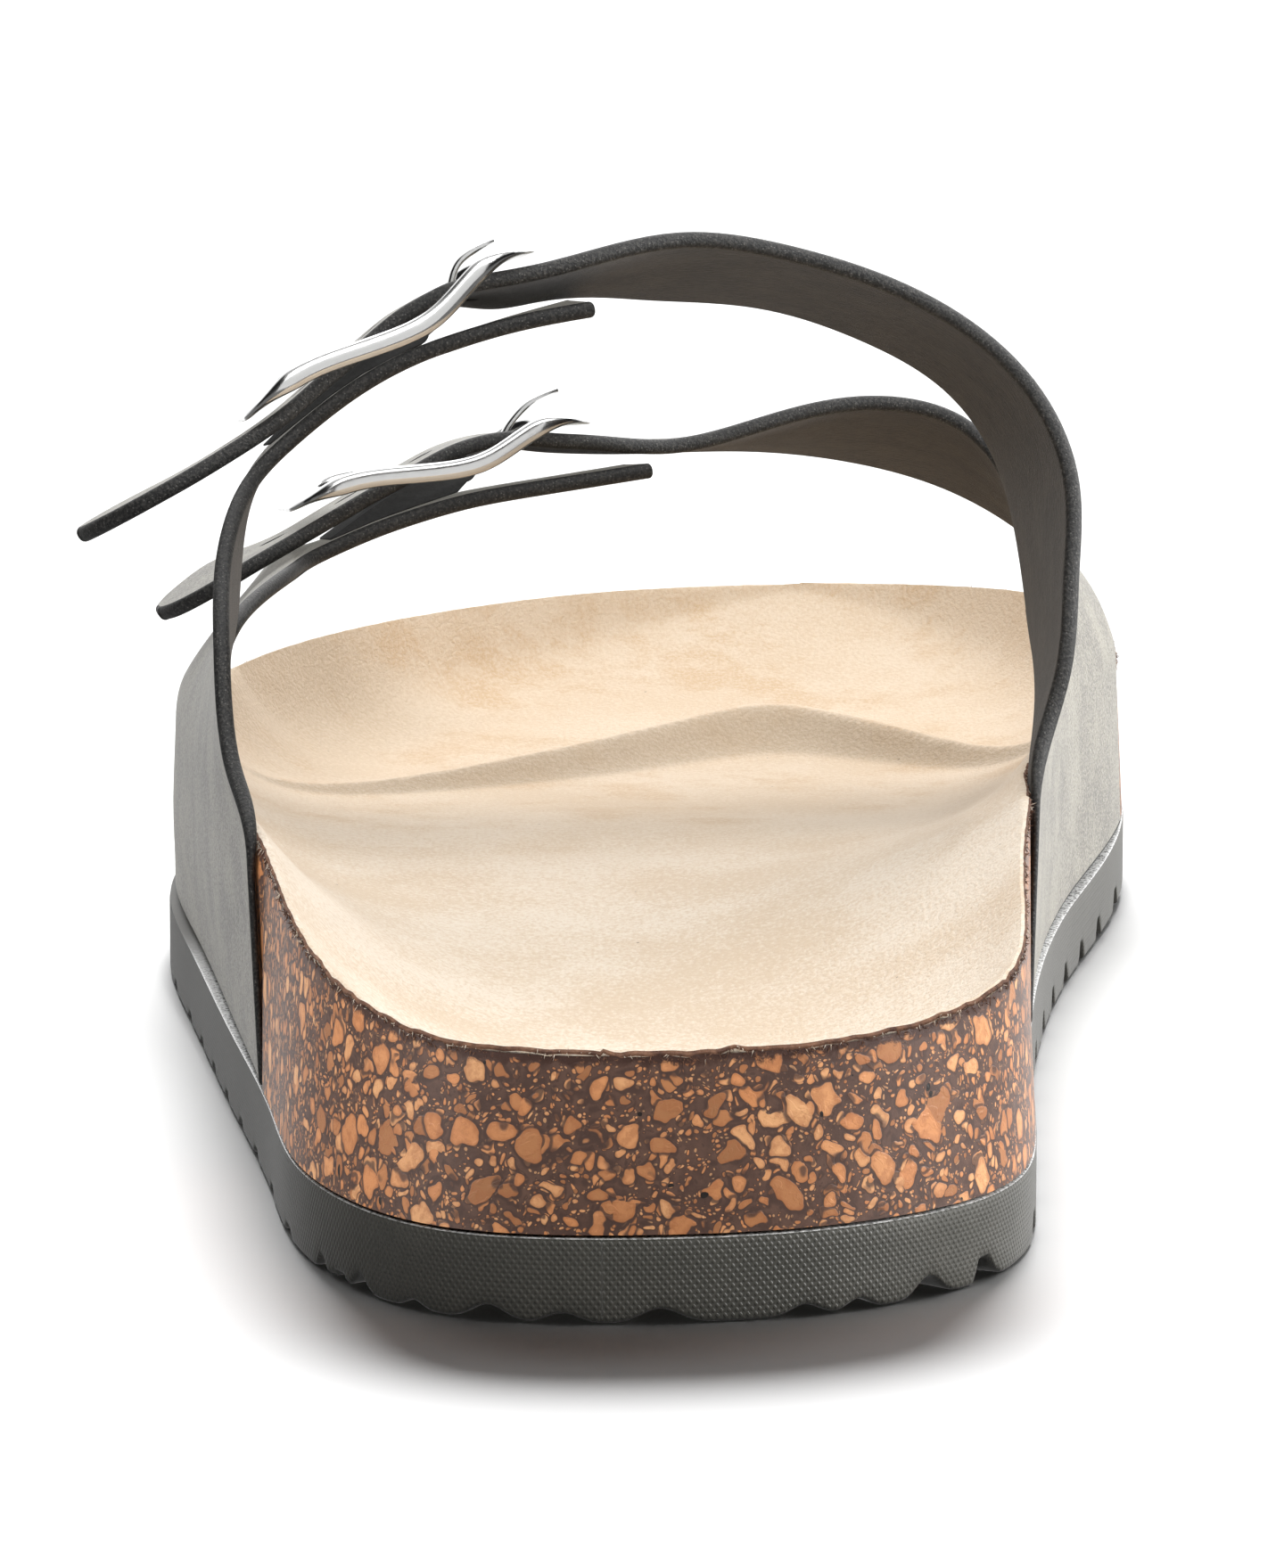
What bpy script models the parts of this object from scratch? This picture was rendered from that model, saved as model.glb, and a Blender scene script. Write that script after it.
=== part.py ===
"""A left slide sandal: rubber outsole, cork footbed, suede insole and an upper of two buckled straps.

Lengths in the tables are millimetres. Across is +X, towards the inner (medial) side of the foot,
along is +Y, from the back of the heel to the toe, and up is +Z from the floor.
"""

import math

import bmesh
import bpy
import numpy as np

MM = 0.001
LATERAL, MEDIAL = -1, 1
SHARP_ANGLE = 40.0
OUTSOLE_STATIONS = 36
FOOTBED_STATIONS = 40

# Driving sizes of the sole
SOLE_LENGTH = 280.0
OUTSOLE_THICK = 7.9
OUTSOLE_CHAMFER = 0.9
TOE_SPRING = 7.0
SPRING_START = 165.0
FIT_GAP = 0.3
INSOLE_THICK = 1.2
INSOLE_EDGE = 0.5
HEEL_EDGE_STEP = 0.1
STRAP_EDGE_STEP = 0.6
EDGE_STEP_BLEND = 40.0
RECESS_MARGIN = 0.9
RECESS_RUN = 0.7
RECESS_BLEND = 15.0
WALL_HEIGHT = 18.0

# Outline of the sole, seen from above: a row for each place where its curve changes
OUTLINE = (
    # place, across, along
    ("heel back", -3.0, 0.0),
    ("heel back, medial", 16.5, 4.9),
    ("heel corner, medial", 29.6, 17.0),
    ("heel, medial", 35.4, 44.0),
    ("waist, medial", 36.9, 86.0),
    ("waist front, medial", 39.4, 121.0),
    ("ball rear, medial", 45.0, 162.0),
    ("ball, medial", 53.1, 209.0),
    ("big toe", 51.8, 242.0),
    ("toe corner, medial", 41.0, 267.0),
    ("toe tip", 21.0, SOLE_LENGTH),
    ("toe, lateral", -4.5, 272.5),
    ("small toes", -26.5, 252.0),
    ("little toe", -43.5, 223.0),
    ("ball, lateral", -53.9, 181.0),
    ("ball rear, lateral", -50.2, 138.0),
    ("waist, lateral", -43.1, 90.0),
    ("heel, lateral", -37.6, 53.0),
    ("heel corner, lateral", -30.0, 17.0),
    ("heel back, lateral", -19.0, 2.9),
)

# Top of the footbed: height of its middle line and of its two rims
FOOTBED = (
    # along, middle, lateral rim, medial rim
    (0.0, 24.7, 24.9, 24.9),
    (6.0, 20.4, 25.7, 25.2),
    (14.0, 17.0, 26.9, 26.1),
    (28.0, 15.2, 28.6, 27.6),
    (50.0, 14.9, 29.8, 29.6),
    (68.0, 16.0, 30.4, 31.0),
    (96.0, 18.2, 28.6, 31.8),
    (130.0, 17.4, 27.0, 29.8),
    (165.0, 15.6, 26.6, 27.4),
    (205.0, 16.0, 27.2, 27.2),
    (240.0, 17.0, 27.0, 28.0),
    (260.0, 19.2, 26.6, 27.8),
    (272.0, 22.6, 26.3, 26.9),
    (SOLE_LENGTH, 25.9, 25.9, 26.1),
)
# How far the footbed's sides lean inwards at the rim: plain, and from a strap's rear edge to its front edge
PLAIN_LEAN = 0.9
STRAP_LEAN = (
    # share of the strap's foot, lateral, medial
    (0.0, -1.2, -0.7),
    (0.35, -0.6, -0.4),
    (0.7, 0.6, 0.3),
    (1.0, 1.1, 0.7),
)
CUP_POWER_HEEL = 2.8
CUP_POWER_TOE = 5.0
CUP_CHANGE = (60.0, 170.0)
RIM_KEEP_POWER = 6
ARCH_RISE, ARCH_ALONG, ARCH_LENGTH = 4.2, 102.0, 36.0
ARCH_SHARES = (-0.1, 0.85)
PAD_RISE, PAD_ALONG, PAD_LENGTH = 1.8, 142.0, 17.0
TOE_BAR_RISE, TOE_BAR_TIP_ACROSS, TOE_BAR_TIP_ALONG = 3.4, 13.0, 235.0
TOE_BAR_SWEEP = {LATERAL: 0.155, MEDIAL: 0.22}
TOE_BAR_BACK, TOE_BAR_FRONT = 5.0, 9.0
TOE_BAR_HALF_WIDTH = 46.0
TOE_BAR_FROM, TOE_BAR_FULL = 130.0, 170.0
TOE_BAR_SWEEP_POWER = 1.5

# Underside: flat pads at the heel and the ball that stand on the floor, and zigzag grooves across it
PADS = {
    # name: stations of its corners, along
    "heel": (14.0, 32.0, 62.0),
    "ball": (126.0, 160.0),
}
PAD_HEIGHT = 0.35
PAD_INSET = 5.0
PAD_SLOPE = 1.2
PAD_ROOT = 1.0
GROOVE_PITCH = 15.0
GROOVE_WIDTH = 5.6
GROOVE_DEPTH = 2.3
GROOVE_WAVE = 20.0
GROOVE_SWING = 4.0
GROOVE_REACH = 70.0

# Straps
STRAP_THICK = 2.0
STRAP_BACK_GAP = 0.5
STRAP_FOOT_STEP = 0.0
STRAP_FOOT_HOLLOW = {LATERAL: 1.0, MEDIAL: 0.5}
STRAP_FLUSH_UP = 20.0
STRAP_HOLE = 3.0
STRAP_HOLE_STEP = 9.0
STRAP_HOLES_FROM_PRONG = (-3, -2, -1, 1)
STRAP_TIP = 13.0
TIP_SHARES = (0.45, 0.75, 0.92, 1.0)
TIP_BLUNT = 0.25
TIP_ROUND_POWER = 2.5
PUNCH_REACH = 1.6

# Where each strap piece stands on the sole: along, from its rear edge to its front edge, and the split
STRAP_FEET = {
    LATERAL: {"rear": 65.0, "split": 128.0, "front": 196.0},
    MEDIAL: {"rear": 95.0, "split": 150.0, "front": 206.0},
}
# Height at which the strap piece leaves the footbed's side, at the same three edges
STRAP_LEAVES = {
    LATERAL: {"rear": 31.4, "split": 28.6, "front": 28.2},
    MEDIAL: {"rear": 31.0, "split": 30.0, "front": 28.4},
}

# Outer face of each strap above the footbed: rear edge and front edge of each section, up from the foot.
# In the second row of each pair of tables the two straps of a piece part, at the crotch.
LATERAL_REAR_STRAP = (
    # rear edge: across, along, up; front edge: across, along, up
    ((-42.9, 74.0, 38.5), (-47.6, 127.0, 37.0)),
    ((-44.2, 79.5, 49.5), (-44.9, 126.0, 45.0)),
    ((-44.2, 84.5, 57.0), (-43.6, 121.5, 53.0)),
    ((-42.4, 91.0, 63.0), (-42.0, 121.5, 58.6)),
)
LATERAL_FRONT_STRAP = (
    ((-47.6, 127.0, 37.0), (-49.9, 191.0, 31.6)),
    ((-44.9, 126.0, 45.0), (-48.0, 189.0, 35.2)),
    ((-42.6, 138.0, 47.6), (-45.2, 187.0, 39.4)),
    ((-39.6, 149.0, 49.0), (-41.2, 184.5, 43.6)),
)
MEDIAL_REAR_STRAP = (
    ((39.8, 98.8, 38.0), (41.6, 149.0, 36.5)),
    ((41.4, 100.5, 43.5), (40.6, 148.0, 42.0)),
    ((42.3, 104.0, 52.5), (39.2, 148.0, 51.0)),
    ((42.5, 108.0, 61.5), (36.4, 149.0, 60.0)),
    ((38.0, 112.5, 71.6), (30.9, 149.0, 67.2)),
    ((28.0, 114.0, 79.7), (22.0, 148.0, 72.6)),
    ((14.0, 113.5, 85.0), (10.0, 145.5, 76.6)),
    ((2.0, 111.5, 86.8), (-1.0, 141.5, 77.8)),
)
MEDIAL_FRONT_STRAP = (
    ((41.6, 149.0, 36.5), (51.2, 203.0, 32.0)),
    ((40.6, 148.0, 42.0), (49.6, 202.5, 35.8)),
    ((40.0, 156.0, 49.0), (46.2, 203.5, 40.4)),
    ((37.6, 163.0, 56.6), (40.8, 205.0, 44.8)),
    ((32.0, 167.5, 61.4), (32.6, 205.0, 49.2)),
    ((21.5, 168.5, 63.0), (21.0, 203.5, 52.6)),
    ((10.5, 166.5, 60.8), (9.5, 200.5, 54.2)),
    ((1.0, 164.0, 58.8), (0.0, 196.5, 54.6)),
)

# Buckles: the middle of each, its turn seen from above, its rise to the medial side and its forward lean
BUCKLES = {
    "rear": {"middle": (-28.5, 118.0, 75.5), "turn": 9.0, "rise": 29.0, "lean": 9.0},
    "front": {"middle": (-25.0, 172.0, 55.0), "turn": 8.0, "rise": 15.0, "lean": 8.0},
}
# Sections of the straps in the buckle's own frame: distance from its middle to the medial side, and height
STRAP_IN_BUCKLE = (
    (16.5, -1.5),
    (12.7, -0.2),
    (9.5, 1.0),
    (7.0, 1.85),
    (4.5, 2.35),
    (2.5, 2.45),
    (0.5, 2.15),
    (-3.0, 1.2),
    (-8.0, 0.2),
    (-13.5, -0.65),
    (-19.0, -1.25),
)
STRAP_TAIL = {"rear": ((-26.0, -1.6), (-37.2, -1.8)), "front": ((-24.5, -2.7), (-33.4, -6.6))}
ARM_IN_BUCKLE = ((-14.0, -3.1), (-9.0, -3.0), (-4.0, -3.0), (2.5, -3.1), (6.0, -3.6))
ARM_END = {"rear": ((12.0, -5.0), (19.5, -7.6)), "front": ((12.0, -4.4), (22.0, -6.0))}
STRAP_HALF_WIDTH = 13.0
ARM_HALF_WIDTH = 12.5

# Buckle frame, prong and the tab that holds the buckle's bar
FRAME_LENGTH, FRAME_WIDTH, FRAME_CORNER = 34.0, 32.8, 6.0
WINDOW_LENGTH, WINDOW_WIDTH, WINDOW_CORNER = 25.0, 27.6, 3.2
RAIL_THICK, END_THICK = 2.1, 0.8
FRAME_BEVEL = 0.35
FRAME_THINS = (8.0, 14.0)
# Height of the frame's middle along the strap: it dips at the bar and rises over the strap at both ends
FRAME_RISE = (
    # along, up
    (-17.0, -0.4),
    (-13.5, 0.35),
    (-9.5, 0.65),
    (-4.5, -0.05),
    (0.5, -0.95),
    (4.5, -1.05),
    (8.5, 0.05),
    (12.5, 1.0),
    (15.0, 0.8),
    (17.0, 0.2),
)
BAR_AT, BAR_RADIUS, BAR_UP, BAR_GAP = 2.5, 0.6, -1.35, 0.25
PRONG_THICK, PRONG_WIDTH = 0.6, 2.2
PRONG_CURL = (40.0, 320.0)
PRONG_PATH = ((5.8, -1.55), (7.2, -0.6), (8.9, 1.35), (10.2, 2.4))
PRONG_END = {"rear": ((11.5, 2.75), (14.6, 2.65)), "front": ((11.8, 3.3), (15.5, 4.0))}
PRONG_HOLE_AT, PRONG_HOLE_LENGTH, PRONG_HOLE_WIDTH = 8.0, 5.6, 3.2
TAB_WALL, TAB_WIDTH, TAB_NOTCH = 0.6, 18.0, 4.8
TAB_TAIL = ((-8.0, -2.78), (-4.0, -2.74), (1.6, -2.8))

FINISHES = {
    # name: colour, roughness, metallic
    "outsole rubber": ((0.072, 0.074, 0.066), 0.75, 0.0),
    "cork": ((0.27, 0.13, 0.06), 0.8, 0.0),
    "suede": ((0.68, 0.54, 0.38), 0.9, 0.0),
    "strap": ((0.16, 0.16, 0.145), 0.7, 0.0),
    "tab": ((0.02, 0.02, 0.02), 0.7, 0.0),
    "polished steel": ((0.8, 0.8, 0.8), 0.12, 1.0),
}


# Curves


def spline_slopes(knots, points, closed=False):
    """Slopes at the knots of the smooth cubic through the points, with free ends unless it is closed."""
    count = len(points)
    system = np.zeros((count, count))
    right = np.zeros_like(points)
    steps = np.diff(knots)
    for i in range(count):
        if not closed and i in (0, count - 1):
            j = 0 if i == 0 else count - 2
            system[i, [j, j + 1]] = (2.0, 1.0) if i == 0 else (1.0, 2.0)
            right[i] = 3.0 * (points[j + 1] - points[j]) / steps[j]
            continue
        before, after = steps[i - 1], steps[i]
        system[i, (i - 1) % count] = after
        system[i, i] = 2.0 * (before + after)
        system[i, (i + 1) % count] = before
        rise_before = (points[i] - points[i - 1]) / before
        rise_after = (points[(i + 1) % count] - points[i]) / after
        right[i] = 3.0 * (after * rise_before + before * rise_after)
    return np.linalg.solve(system, right)


def spline_at(knots, points, slopes, at):
    """The cubic's value at one place along it."""
    i = int(np.clip(np.searchsorted(knots, at, side="right") - 1, 0, len(knots) - 2))
    j = (i + 1) % len(points)
    step = knots[i + 1] - knots[i]
    s = (at - knots[i]) / step
    start = (2 * s**3 - 3 * s**2 + 1) * points[i] + (s**3 - 2 * s**2 + s) * step * slopes[i]
    return start + (3 * s**2 - 2 * s**3) * points[j] + (s**3 - s**2) * step * slopes[j]


def chord_knots(points, closed=False):
    """Distance along the straight lines that join the points."""
    ends = np.vstack([points, points[:1]]) if closed else points
    return np.concatenate([[0.0], np.cumsum(np.linalg.norm(np.diff(ends, axis=0), axis=1))])


def smooth_through(points, steps):
    """Points of a smooth open curve, with that many steps between each pair of the given points."""
    points = np.array(points, float)
    knots = chord_knots(points)
    slopes = spline_slopes(knots, points)
    places = [a + (b - a) * k / steps for a, b in zip(knots, knots[1:]) for k in range(steps)]
    return np.array([spline_at(knots, points, slopes, at) for at in [*places, knots[-1]]])


def table_curve(table, column):
    """A function that reads one column of a table smoothly, by its first column."""
    knots = np.array([row[0] for row in table])
    values = np.array([[row[column]] for row in table])
    slopes = spline_slopes(knots, values)
    return lambda at: float(spline_at(knots, values, slopes, min(max(at, knots[0]), knots[-1]))[0])


def ease(low, high, value):
    """0 before low, 1 after high and smooth between them."""
    s = min(max((value - low) / (high - low), 0.0), 1.0)
    return s * s * (3.0 - 2.0 * s)


# Form of the sole


def sole_edges(samples=720):
    """The outline's two edges from heel to toe: along, across and the outward normal's two parts."""
    corners = np.array([row[1:] for row in OUTLINE])
    knots = chord_knots(corners, closed=True)
    slopes = spline_slopes(knots, corners, closed=True)
    loop = np.array([spline_at(knots, corners, slopes, knots[-1] * k / samples) for k in range(samples)])
    loop = np.roll(loop, -int(np.argmin(loop[:, 1])), axis=0)
    run = np.roll(loop, -1, axis=0) - np.roll(loop, 1, axis=0)
    run /= np.linalg.norm(run, axis=1, keepdims=True)
    rows = np.stack([loop[:, 1], loop[:, 0], -run[:, 0], run[:, 1]], axis=1)
    toe = int(np.argmax(loop[:, 1]))
    return {LATERAL: np.vstack([rows[:1], rows[toe:][::-1]]), MEDIAL: rows[: toe + 1]}


EDGES = sole_edges()
HEEL_END = float(EDGES[MEDIAL][0, 0])
TOE_END = float(EDGES[MEDIAL][-1, 0])
MIDDLE_UP, LATERAL_RIM, MEDIAL_RIM = (table_curve(FOOTBED, column) for column in (1, 2, 3))
RIM_UP = {LATERAL: LATERAL_RIM, MEDIAL: MEDIAL_RIM}
LEAN = {LATERAL: table_curve(STRAP_LEAN, 1), MEDIAL: table_curve(STRAP_LEAN, 2)}


def edge_across(side, along):
    """Where the outline's edge lies at one station along the foot."""
    return float(np.interp(along, EDGES[side][:, 0], EDGES[side][:, 1]))


def inside_edge(side, along, inset):
    """The point that lies square inside the outline's edge, as across and along."""
    edge = EDGES[side]
    across, ahead, aside = (np.interp(along, edge[:, 0], edge[:, column]) for column in (1, 2, 3))
    return across - aside * inset, along - ahead * inset


def spring(along):
    """How far the toe lifts the sole off the floor."""
    return TOE_SPRING * max(0.0, (along - SPRING_START) / (SOLE_LENGTH - SPRING_START)) ** 2


def strap_share(side, along):
    """0 at a strap piece's rear edge, 1 at its front edge."""
    feet = STRAP_FEET[side]
    return (along - feet["rear"]) / (feet["front"] - feet["rear"])


def in_recess(side, along):
    """Whether a strap lies on the footbed's side there."""
    feet = STRAP_FEET[side]
    return feet["rear"] - RECESS_MARGIN <= along <= feet["front"] + RECESS_MARGIN


def wall_lean(side, along, up):
    """How far the footbed's side leans inwards at that height."""
    lean = LEAN[side](strap_share(side, along)) if in_recess(side, along) else PLAIN_LEAN
    return lean * (up - OUTSOLE_THICK) / WALL_HEIGHT


def strap_step(side, along, up):
    """How far the strap's outer face stands inside the outsole's edge: most in the middle of its foot."""
    share = min(max(strap_share(side, along), 0.0), 1.0)
    low = 1.0 - ease(OUTSOLE_THICK, STRAP_FLUSH_UP, up)
    return STRAP_FOOT_STEP + STRAP_FOOT_HOLLOW[side] * math.sin(math.pi * share) * low


def cork_step(side, along, up):
    """How far the cork's side stands inside the outsole's edge: deeper where a strap lies on it."""
    if in_recess(side, along):
        return strap_step(side, along, up) + STRAP_THICK + STRAP_BACK_GAP
    rear = STRAP_FEET[side]["rear"]
    return HEEL_EDGE_STEP + (STRAP_EDGE_STEP - HEEL_EDGE_STEP) * ease(rear - EDGE_STEP_BLEND, rear, along)


def dish_edge(side, along):
    """Across position where the footbed's dish reaches the height of its rim, with no jump at the straps."""
    rear, front = STRAP_FEET[side]["rear"], STRAP_FEET[side]["front"]
    inside = ease(rear - RECESS_BLEND, rear - RECESS_MARGIN, along)
    inside *= 1.0 - ease(front + RECESS_MARGIN, front + RECESS_BLEND, along)
    plain = STRAP_EDGE_STEP + PLAIN_LEAN
    recess = STRAP_THICK + STRAP_BACK_GAP + LEAN[side](strap_share(side, along))
    return edge_across(side, along) - side * (plain + (recess - plain) * inside)


def strap_wall(side, along, up):
    """Across position of the strap's outer face where it lies on the footbed."""
    return edge_across(side, along) - side * (strap_step(side, along, up) + wall_lean(side, along, up))


def toe_bar(across, along):
    """Height of the ridge that the toes grip."""
    side = MEDIAL if across > TOE_BAR_TIP_ACROSS else LATERAL
    off = abs(across - TOE_BAR_TIP_ACROSS)
    crest = TOE_BAR_TIP_ALONG - TOE_BAR_SWEEP[side] * off**TOE_BAR_SWEEP_POWER
    reach = TOE_BAR_FRONT if along > crest else TOE_BAR_BACK
    fade = max(0.0, 1.0 - (off / TOE_BAR_HALF_WIDTH) ** 2) ** 0.5
    return TOE_BAR_RISE * fade * math.exp(-(((along - crest) / reach) ** 2))


def footbed_up(across, along):
    """Height of the footbed's top."""
    lateral, medial = dish_edge(LATERAL, along), dish_edge(MEDIAL, along)
    half = max((medial - lateral) / 2.0, 1.0)
    share = min(max((across - (lateral + medial) / 2.0) / half, -1.0), 1.0)
    side = MEDIAL if share > 0 else LATERAL
    middle, rim = MIDDLE_UP(along), RIM_UP[side](along)
    power = CUP_POWER_HEEL + (CUP_POWER_TOE - CUP_POWER_HEEL) * ease(*CUP_CHANGE, along)
    inside = 1.0 - abs(share) ** RIM_KEEP_POWER
    arch = ARCH_RISE * math.exp(-(((along - ARCH_ALONG) / ARCH_LENGTH) ** 2)) * ease(*ARCH_SHARES, share)
    pad = PAD_RISE * math.exp(-(((along - PAD_ALONG) / PAD_LENGTH) ** 2)) * (1.0 - share * share)
    rise = arch + pad + toe_bar(across, along) * ease(TOE_BAR_FROM, TOE_BAR_FULL, along)
    return middle + (rim - middle) * abs(share) ** power + rise * inside


def stations(count):
    """Stations from heel to toe, closer at the ends, with a pair at each strap's edge for its step."""
    half = (TOE_END - HEEL_END) / 2.0
    even = [HEEL_END + half * (1.0 - math.cos(math.pi * (k + 0.5) / count)) for k in range(count)]
    steps = []
    for feet in STRAP_FEET.values():
        rear, front = feet["rear"] - RECESS_MARGIN, feet["front"] + RECESS_MARGIN
        steps += [rear - RECESS_RUN, rear, front, front + RECESS_RUN]
    even = [a for a in even if min(abs(a - s) for s in steps) > 2.0]
    return sorted(even + steps)


def sole_ring(alongs, step, up):
    """A closed ring round the sole: heel, medial side, toe, lateral side. Step and up are functions."""
    medial = [(MEDIAL, a) for a in alongs]
    lateral = [(LATERAL, a) for a in reversed(alongs)]
    ring = []
    for side, along in [(MEDIAL, HEEL_END), *medial, (MEDIAL, TOE_END), *lateral]:
        ring.append((*inside_edge(side, along, step(side, along)), up(side, along)))
    return ring


# Meshes


def finish(name):
    """The named material, made once."""
    material = bpy.data.materials.get(name)
    if material is None:
        colour, rough, metal = FINISHES[name]
        material = bpy.data.materials.new(name)
        material.use_nodes = True
        shader = material.node_tree.nodes["Principled BSDF"]
        shader.inputs["Base Color"].default_value = (*colour, 1.0)
        shader.inputs["Roughness"].default_value = rough
        shader.inputs["Metallic"].default_value = metal
    return material


def add_piece(name, points, faces, finish_name, parent):
    """A mesh object from points in millimetres, with its faces turned outwards."""
    mesh = bpy.data.meshes.new(name)
    mesh.from_pydata([tuple(c * MM for c in p) for p in points], [], faces)
    work = bmesh.new()
    work.from_mesh(mesh)
    bmesh.ops.recalc_face_normals(work, faces=work.faces)
    if work.calc_volume(signed=True) < 0.0:
        bmesh.ops.reverse_faces(work, faces=work.faces)
    work.to_mesh(mesh)
    work.free()
    mesh.shade_smooth()
    mesh.set_sharp_from_angle(angle=math.radians(SHARP_ANGLE))
    if finish_name:
        mesh.materials.append(finish(finish_name))
    piece = bpy.data.objects.new(name, mesh)
    bpy.context.scene.collection.objects.link(piece)
    piece.parent = parent
    return piece


def add_cutter(name, points, faces, parent):
    """A helper shape that only cuts others."""
    cutter = add_piece(name, points, faces, None, parent)
    cutter.hide_render = True
    cutter.display_type = "WIRE"
    return cutter


def cut(piece, cutter, operation="DIFFERENCE"):
    """Cuts the piece with the cutter, or joins the two."""
    boolean = piece.modifiers.new(cutter.name, "BOOLEAN")
    boolean.operation = operation
    boolean.object = cutter


def ring_faces(first, second, count, closed=True):
    """Four-sided faces between two rings of points, given the index of each ring's first point."""
    last = count if closed else count - 1
    return [(first + i, first + (i + 1) % count, second + (i + 1) % count, second + i) for i in range(last)]


def cap_faces(first, count):
    """Faces that close a sole ring by joining its two sides, station by station."""
    stops = count // 2
    faces = [(first, first + 1, first + count - 1)]
    for i in range(1, stops - 1):
        faces.append((first + i, first + i + 1, first + count - i - 1, first + count - i))
    return faces + [(first + stops - 1, first + stops, first + stops + 1)]


def ring_stack(rings):
    """Points and faces of the wall through a stack of sole rings, from the lowest up."""
    count = len(rings[0])
    points = [p for ring in rings for p in ring]
    faces = []
    for level in range(len(rings) - 1):
        faces += ring_faces(level * count, (level + 1) * count, count)
    return points, faces


def dish_points(ring, columns, drop):
    """Points of the footbed's top between the two sides of a ring, station by station."""
    count = len(ring)
    points = []
    for i in range(1, count // 2):
        medial, lateral = np.array(ring[i]), np.array(ring[count - i])
        for k in range(1, columns):
            across, along, _ = lateral + (medial - lateral) * k / columns
            points.append((across, along, footbed_up(across, along) - drop))
    return points


def dish_faces(first_ring, count, first_inside, columns):
    """Faces of a dish: its ring starts at first_ring, and the points of dish_points at first_inside."""
    stops = count // 2

    def place(i, k):
        if i == 0 or i == stops:
            return first_ring + i
        if k == 0 or k == columns:
            return first_ring + (count - i if k == 0 else i)
        return first_inside + (i - 1) * (columns - 1) + k - 1

    faces = []
    for i in range(stops):
        for k in range(columns):
            corners = (place(i, k), place(i, k + 1), place(i + 1, k + 1), place(i + 1, k))
            faces.append(tuple(dict.fromkeys(corners)))
    return faces


# Sole pieces


def groove_cutter(parent):
    """Zigzag bars, triangular in section, that cut the tread."""
    points, faces = [], []
    bends = int(2 * GROOVE_REACH / GROOVE_WAVE) * 2
    for row in range(int(SOLE_LENGTH / GROOVE_PITCH) + 1):
        middle = HEEL_END + GROOVE_PITCH * (row + 0.35)
        first = len(points)
        for k in range(bends + 1):
            across = -GROOVE_REACH + k * GROOVE_WAVE / 2.0
            along = middle + GROOVE_SWING * (1 if k % 2 else -1)
            floor = spring(along) - 1.0
            half = GROOVE_WIDTH / 2.0 * (GROOVE_DEPTH + 1.0) / GROOVE_DEPTH
            points += [(across, along - half, floor), (across, along + half, floor)]
            points += [(across, along, spring(along) + GROOVE_DEPTH)]
        for k in range(bends):
            faces += ring_faces(first + 3 * k, first + 3 * k + 3, 3)
        faces += [tuple(range(first, first + 3)), tuple(range(first + 3 * bends, first + 3 * bends + 3))]
    return add_cutter("tread_cutter", points, faces, parent)


def pad_shape(name, parent):
    """A flat pad: its lower face lies on the floor inside the outline, and its root is in the sole."""
    corners = [(LATERAL, a) for a in PADS[name]] + [(MEDIAL, a) for a in reversed(PADS[name])]
    points = []
    for inset, up in ((PAD_INSET, 0.0), (PAD_INSET - PAD_SLOPE, PAD_HEIGHT + PAD_ROOT)):
        points += [(*inside_edge(side, along, inset), up) for side, along in corners]
    count = len(corners)
    faces = ring_faces(0, count, count) + [tuple(range(count)), tuple(range(count, 2 * count))]
    return add_cutter(f"{name}_pad", points, faces, parent)


def make_outsole(parent):
    alongs = stations(OUTSOLE_STATIONS)
    rings = [
        sole_ring(alongs, lambda side, a: OUTSOLE_CHAMFER, lambda side, a: spring(a) + PAD_HEIGHT),
        sole_ring(alongs, lambda side, a: 0.0, lambda side, a: spring(a) + PAD_HEIGHT + OUTSOLE_CHAMFER),
        sole_ring(alongs, lambda side, a: 0.0, lambda side, a: spring(a) + OUTSOLE_THICK),
    ]
    points, faces = ring_stack(rings)
    count = len(rings[0])
    faces += cap_faces(0, count) + cap_faces(2 * count, count)
    outsole = add_piece("outsole", points, faces, "outsole rubber", parent)
    for name in PADS:
        cut(outsole, pad_shape(name, parent), "UNION")
    cut(outsole, groove_cutter(parent))


def cork_ring(alongs, share, drop):
    """A ring of the cork's side, at that share of its height, from 0 on the outsole to 1 at its rim."""

    def up(side, along):
        foot = spring(along) + OUTSOLE_THICK + FIT_GAP
        return foot + (RIM_UP[side](along) - drop - foot) * share

    def step(side, along):
        return cork_step(side, along, up(side, along)) + wall_lean(side, along, up(side, along))

    return sole_ring(alongs, step, up)


def make_cork(parent, columns=10):
    alongs = stations(FOOTBED_STATIONS)
    rings = [cork_ring(alongs, share, INSOLE_EDGE + FIT_GAP) for share in (0.0, 0.5, 1.0)]
    points, faces = ring_stack(rings)
    count = len(rings[0])
    faces += cap_faces(0, count) + dish_faces(2 * count, count, len(points), columns)
    points += dish_points(rings[2], columns, INSOLE_THICK + FIT_GAP)
    add_piece("cork_footbed", points, faces, "cork", parent)


def make_insole(parent, columns=10):
    alongs = stations(FOOTBED_STATIONS)
    low, high = (cork_ring(alongs, 1.0, drop) for drop in (INSOLE_EDGE, 0.0))
    points, faces = ring_stack([low, high])
    count = len(low)
    faces += dish_faces(0, count, len(points), columns)
    points += dish_points(low, columns, INSOLE_THICK)
    faces += dish_faces(count, count, len(points), columns)
    points += dish_points(high, columns, 0.0)
    add_piece("insole", points, faces, "suede", parent)


# Straps


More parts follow.
